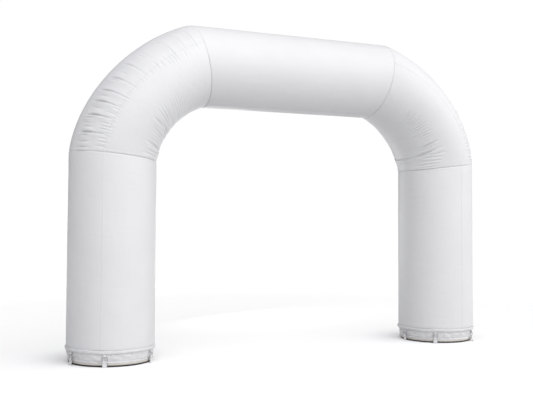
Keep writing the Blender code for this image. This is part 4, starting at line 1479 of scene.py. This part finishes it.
@dataclass
class Studio:
    """The plain pale floor, the soft lights and the camera at the photo's angle."""

    camera_place: tuple[float, float, float] = (-4.769, -9.618, 1.664)
    camera_turn: float = 0.4349
    camera_lift: float = 0.0453
    camera_roll: float = 0.0052
    focal_length: float = 57.26
    shift_up: float = -0.0436
    floor_half: float = 60.0
    floor_fade: tuple[float, float] = (4.5, 9.0)
    # The paint is as pale as the photo's floor, but what it throws back on the cloth is a mid grey's.
    floor_colour: str = "#F2F2F2"
    floor_bounce: str = "#D4D4D4"
    floor_painted_light: float = 0.50
    foot_shade: tuple[float, float] = (0.48, 1.15)
    backdrop: float = 1.02
    panels: tuple[Panel, ...] = (
        Panel(32.0, 20.0, 5.0, 1.10, (1.01, 1.00, 0.99)),
        Panel(75.0, 25.0, 4.0, 2.04, (1.01, 1.00, 0.99)),
        Panel(-20.0, 30.0, 4.0, 2.39, (0.99, 0.99, 1.02)),
        Panel(220.0, 55.0, 5.0, 0.96, (0.98, 0.99, 1.04)),
    )

    def camera(self) -> None:
        """Stands the camera where the photo was taken from, with the little shift that its frame has."""
        data = bpy.data.cameras.new("camera")
        data.lens = self.focal_length
        data.sensor_width = 36.0
        data.sensor_fit = "HORIZONTAL"
        data.shift_y = self.shift_up
        data.clip_end = 200.0
        camera = bpy.data.objects.new("camera", data)
        camera.location = self.camera_place
        level = math.cos(self.camera_lift)
        forward = Vector((math.sin(self.camera_turn) * level, math.cos(self.camera_turn) * level,
                          math.sin(self.camera_lift)))
        turn = forward.to_track_quat("-Z", "Y").to_matrix() @ Euler((0, 0, self.camera_roll)).to_matrix()
        camera.rotation_euler = turn.to_euler()
        bpy.context.scene.collection.objects.link(camera)
        bpy.context.scene.camera = camera

    def floor(self) -> None:
        """A wide plain floor, matt and pale, that fades into the white surround far from the arch.

        It is also lifted part of the way to that white wherever it is clear of the feet, as in the photo,
        so that only the shadows at the feet show.
        """
        half = self.floor_half
        mesh = bpy.data.meshes.new("floor")
        mesh.from_pydata([(-half, -half, 0), (half, -half, 0), (half, half, 0), (-half, half, 0)], [],
                         [(0, 1, 2, 3)])
        material, shader = new_material("studio_floor_painted")
        seen = add_node(material, "ShaderNodeLightPath").outputs["Is Camera Ray"]
        paint = add_node(material, "ShaderNodeMix", {"data_type": "RGBA"}, {
            "Factor": seen, 6: linear(self.floor_bounce), 7: linear(self.floor_colour)}).outputs[2]
        material.node_tree.links.new(paint, shader.inputs["Base Color"])
        shader.inputs["Roughness"].default_value = 0.9
        shader.inputs["Specular IOR Level"].default_value = 0.1
        place = add_node(material, "ShaderNodeTexCoord").outputs["Object"]
        reach = add_node(material, "ShaderNodeVectorMath", {"operation": "LENGTH"},
                         {0: place}).outputs["Value"]
        far = eased(material, reach, *self.floor_fade)
        glow = add_node(material, "ShaderNodeEmission", inputs={"Strength": self.backdrop})
        # The absolute place folds one half of the floor on the other, so that one distance does both feet.
        folded = add_node(material, "ShaderNodeVectorMath", {"operation": "ABSOLUTE"},
                          {0: place}).outputs["Vector"]
        off = add_node(material, "ShaderNodeVectorMath", {"operation": "DISTANCE"},
                       {0: folded, 1: (Arch().leg_x, 0.0, 0.0)}).outputs["Value"]
        # Painted light: away from the feet the floor glows part of the way to white, which hides the cast
        # shadows there.
        clear = eased(material, off, *self.foot_shade, self.floor_painted_light)
        lift = arithmetic(material, "MAXIMUM", far, arithmetic(material, "MULTIPLY", seen, clear))
        mixed = add_node(material, "ShaderNodeMixShader", inputs={
            0: lift, 1: shader.outputs["BSDF"], 2: glow.outputs["Emission"]})
        output = material.node_tree.nodes["Material Output"]
        material.node_tree.links.new(mixed.outputs["Shader"], output.inputs["Surface"])
        mesh.materials.append(material)
        floor = bpy.data.objects.new("floor", mesh)
        bpy.context.scene.collection.objects.link(floor)

    def lamp(self, name: str, place: tuple[float, float, float], aim: tuple[float, float, float],
             size: tuple[float, float], power: float) -> None:
        """One soft rectangular light, aimed at a point."""
        data = bpy.data.lights.new(name, "AREA")
        data.shape = "RECTANGLE"
        data.size, data.size_y = size
        data.energy = power
        light = bpy.data.objects.new(name, data)
        light.location = place
        light.rotation_euler = (Vector(aim) - Vector(place)).to_track_quat("-Z", "Y").to_euler()
        bpy.context.scene.collection.objects.link(light)

    def world(self) -> None:
        """The surround: wide soft panels of light, and plain white where the camera sees past the floor."""
        world = bpy.data.worlds.new("studio")
        world.use_nodes = True
        way = add_node(world, "ShaderNodeTexCoord").outputs["Generated"]
        total = add_node(world, "ShaderNodeRGB").outputs[0]
        total.default_value = (0.0, 0.0, 0.0, 1.0)
        for panel in self.panels:
            toward = add_node(world, "ShaderNodeVectorMath", {"operation": "DOT_PRODUCT"},
                              {0: way, 1: panel.axis}).outputs["Value"]
            faced = arithmetic(world, "MAXIMUM", toward, 0.0)
            glow = arithmetic(world, "POWER", faced, panel.tightness)
            glow = arithmetic(world, "MULTIPLY", glow, panel.strength)
            tint = add_node(world, "ShaderNodeVectorMath", {"operation": "SCALE"},
                            {0: panel.tint, "Scale": glow}).outputs["Vector"]
            total = add_node(world, "ShaderNodeVectorMath", inputs={0: total, 1: tint}).outputs["Vector"]
        seen = add_node(world, "ShaderNodeLightPath").outputs["Is Camera Ray"]
        white = (self.backdrop, self.backdrop, self.backdrop, 1.0)
        tone = add_node(world, "ShaderNodeMix", {"data_type": "RGBA", "clamp_result": False},
                        {"Factor": seen, 6: total, 7: white}).outputs[2]
        world.node_tree.links.new(tone, world.node_tree.nodes["Background"].inputs["Color"])
        bpy.context.scene.world = world

    def build(self) -> None:
        """Sets up the floor, the lights and the camera."""
        bpy.context.scene.view_settings.view_transform = "Standard"
        self.camera()
        self.floor()
        self.world()
        self.lamp("behind_right_leg", (0.57, 3.6, 2.0), (2.26, 0.0, 1.8), (1.5, 3.0), 36.0)
        self.lamp("above", (-1.0, -3.0, 9.5), (0.0, 0.0, 2.5), (3.0, 3.0), 68.0)
        self.lamp("left", (-5.5, -2.0, 6.5), (-2.4, 0.0, 3.2), (2.0, 2.0), 25.0)


def main() -> None:
    """Builds every piece of the arch, then the studio, and reports each piece."""
    logging.basicConfig(level=logging.INFO, format="%(message)s")
    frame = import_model()
    log.info("%d nodes in the frame", len(frame["nodes"]))
    arch, sizes = Arch(), FootSizes()
    finishes = Finishes.made()
    for side in Side:
        Leg(arch, sizes, side).build(finishes)
        Bend(arch, side).build(finishes)
        foot = Foot(arch, sizes, side)
        foot.build(finishes)
        for number, (degrees, kick) in enumerate(ANCHORS[side], start=1):
            Anchor(foot, number, degrees, kick).build(finishes)
    Beam(arch).build(finishes)
    Studio().build()


if __name__ == "__main__":
    main()
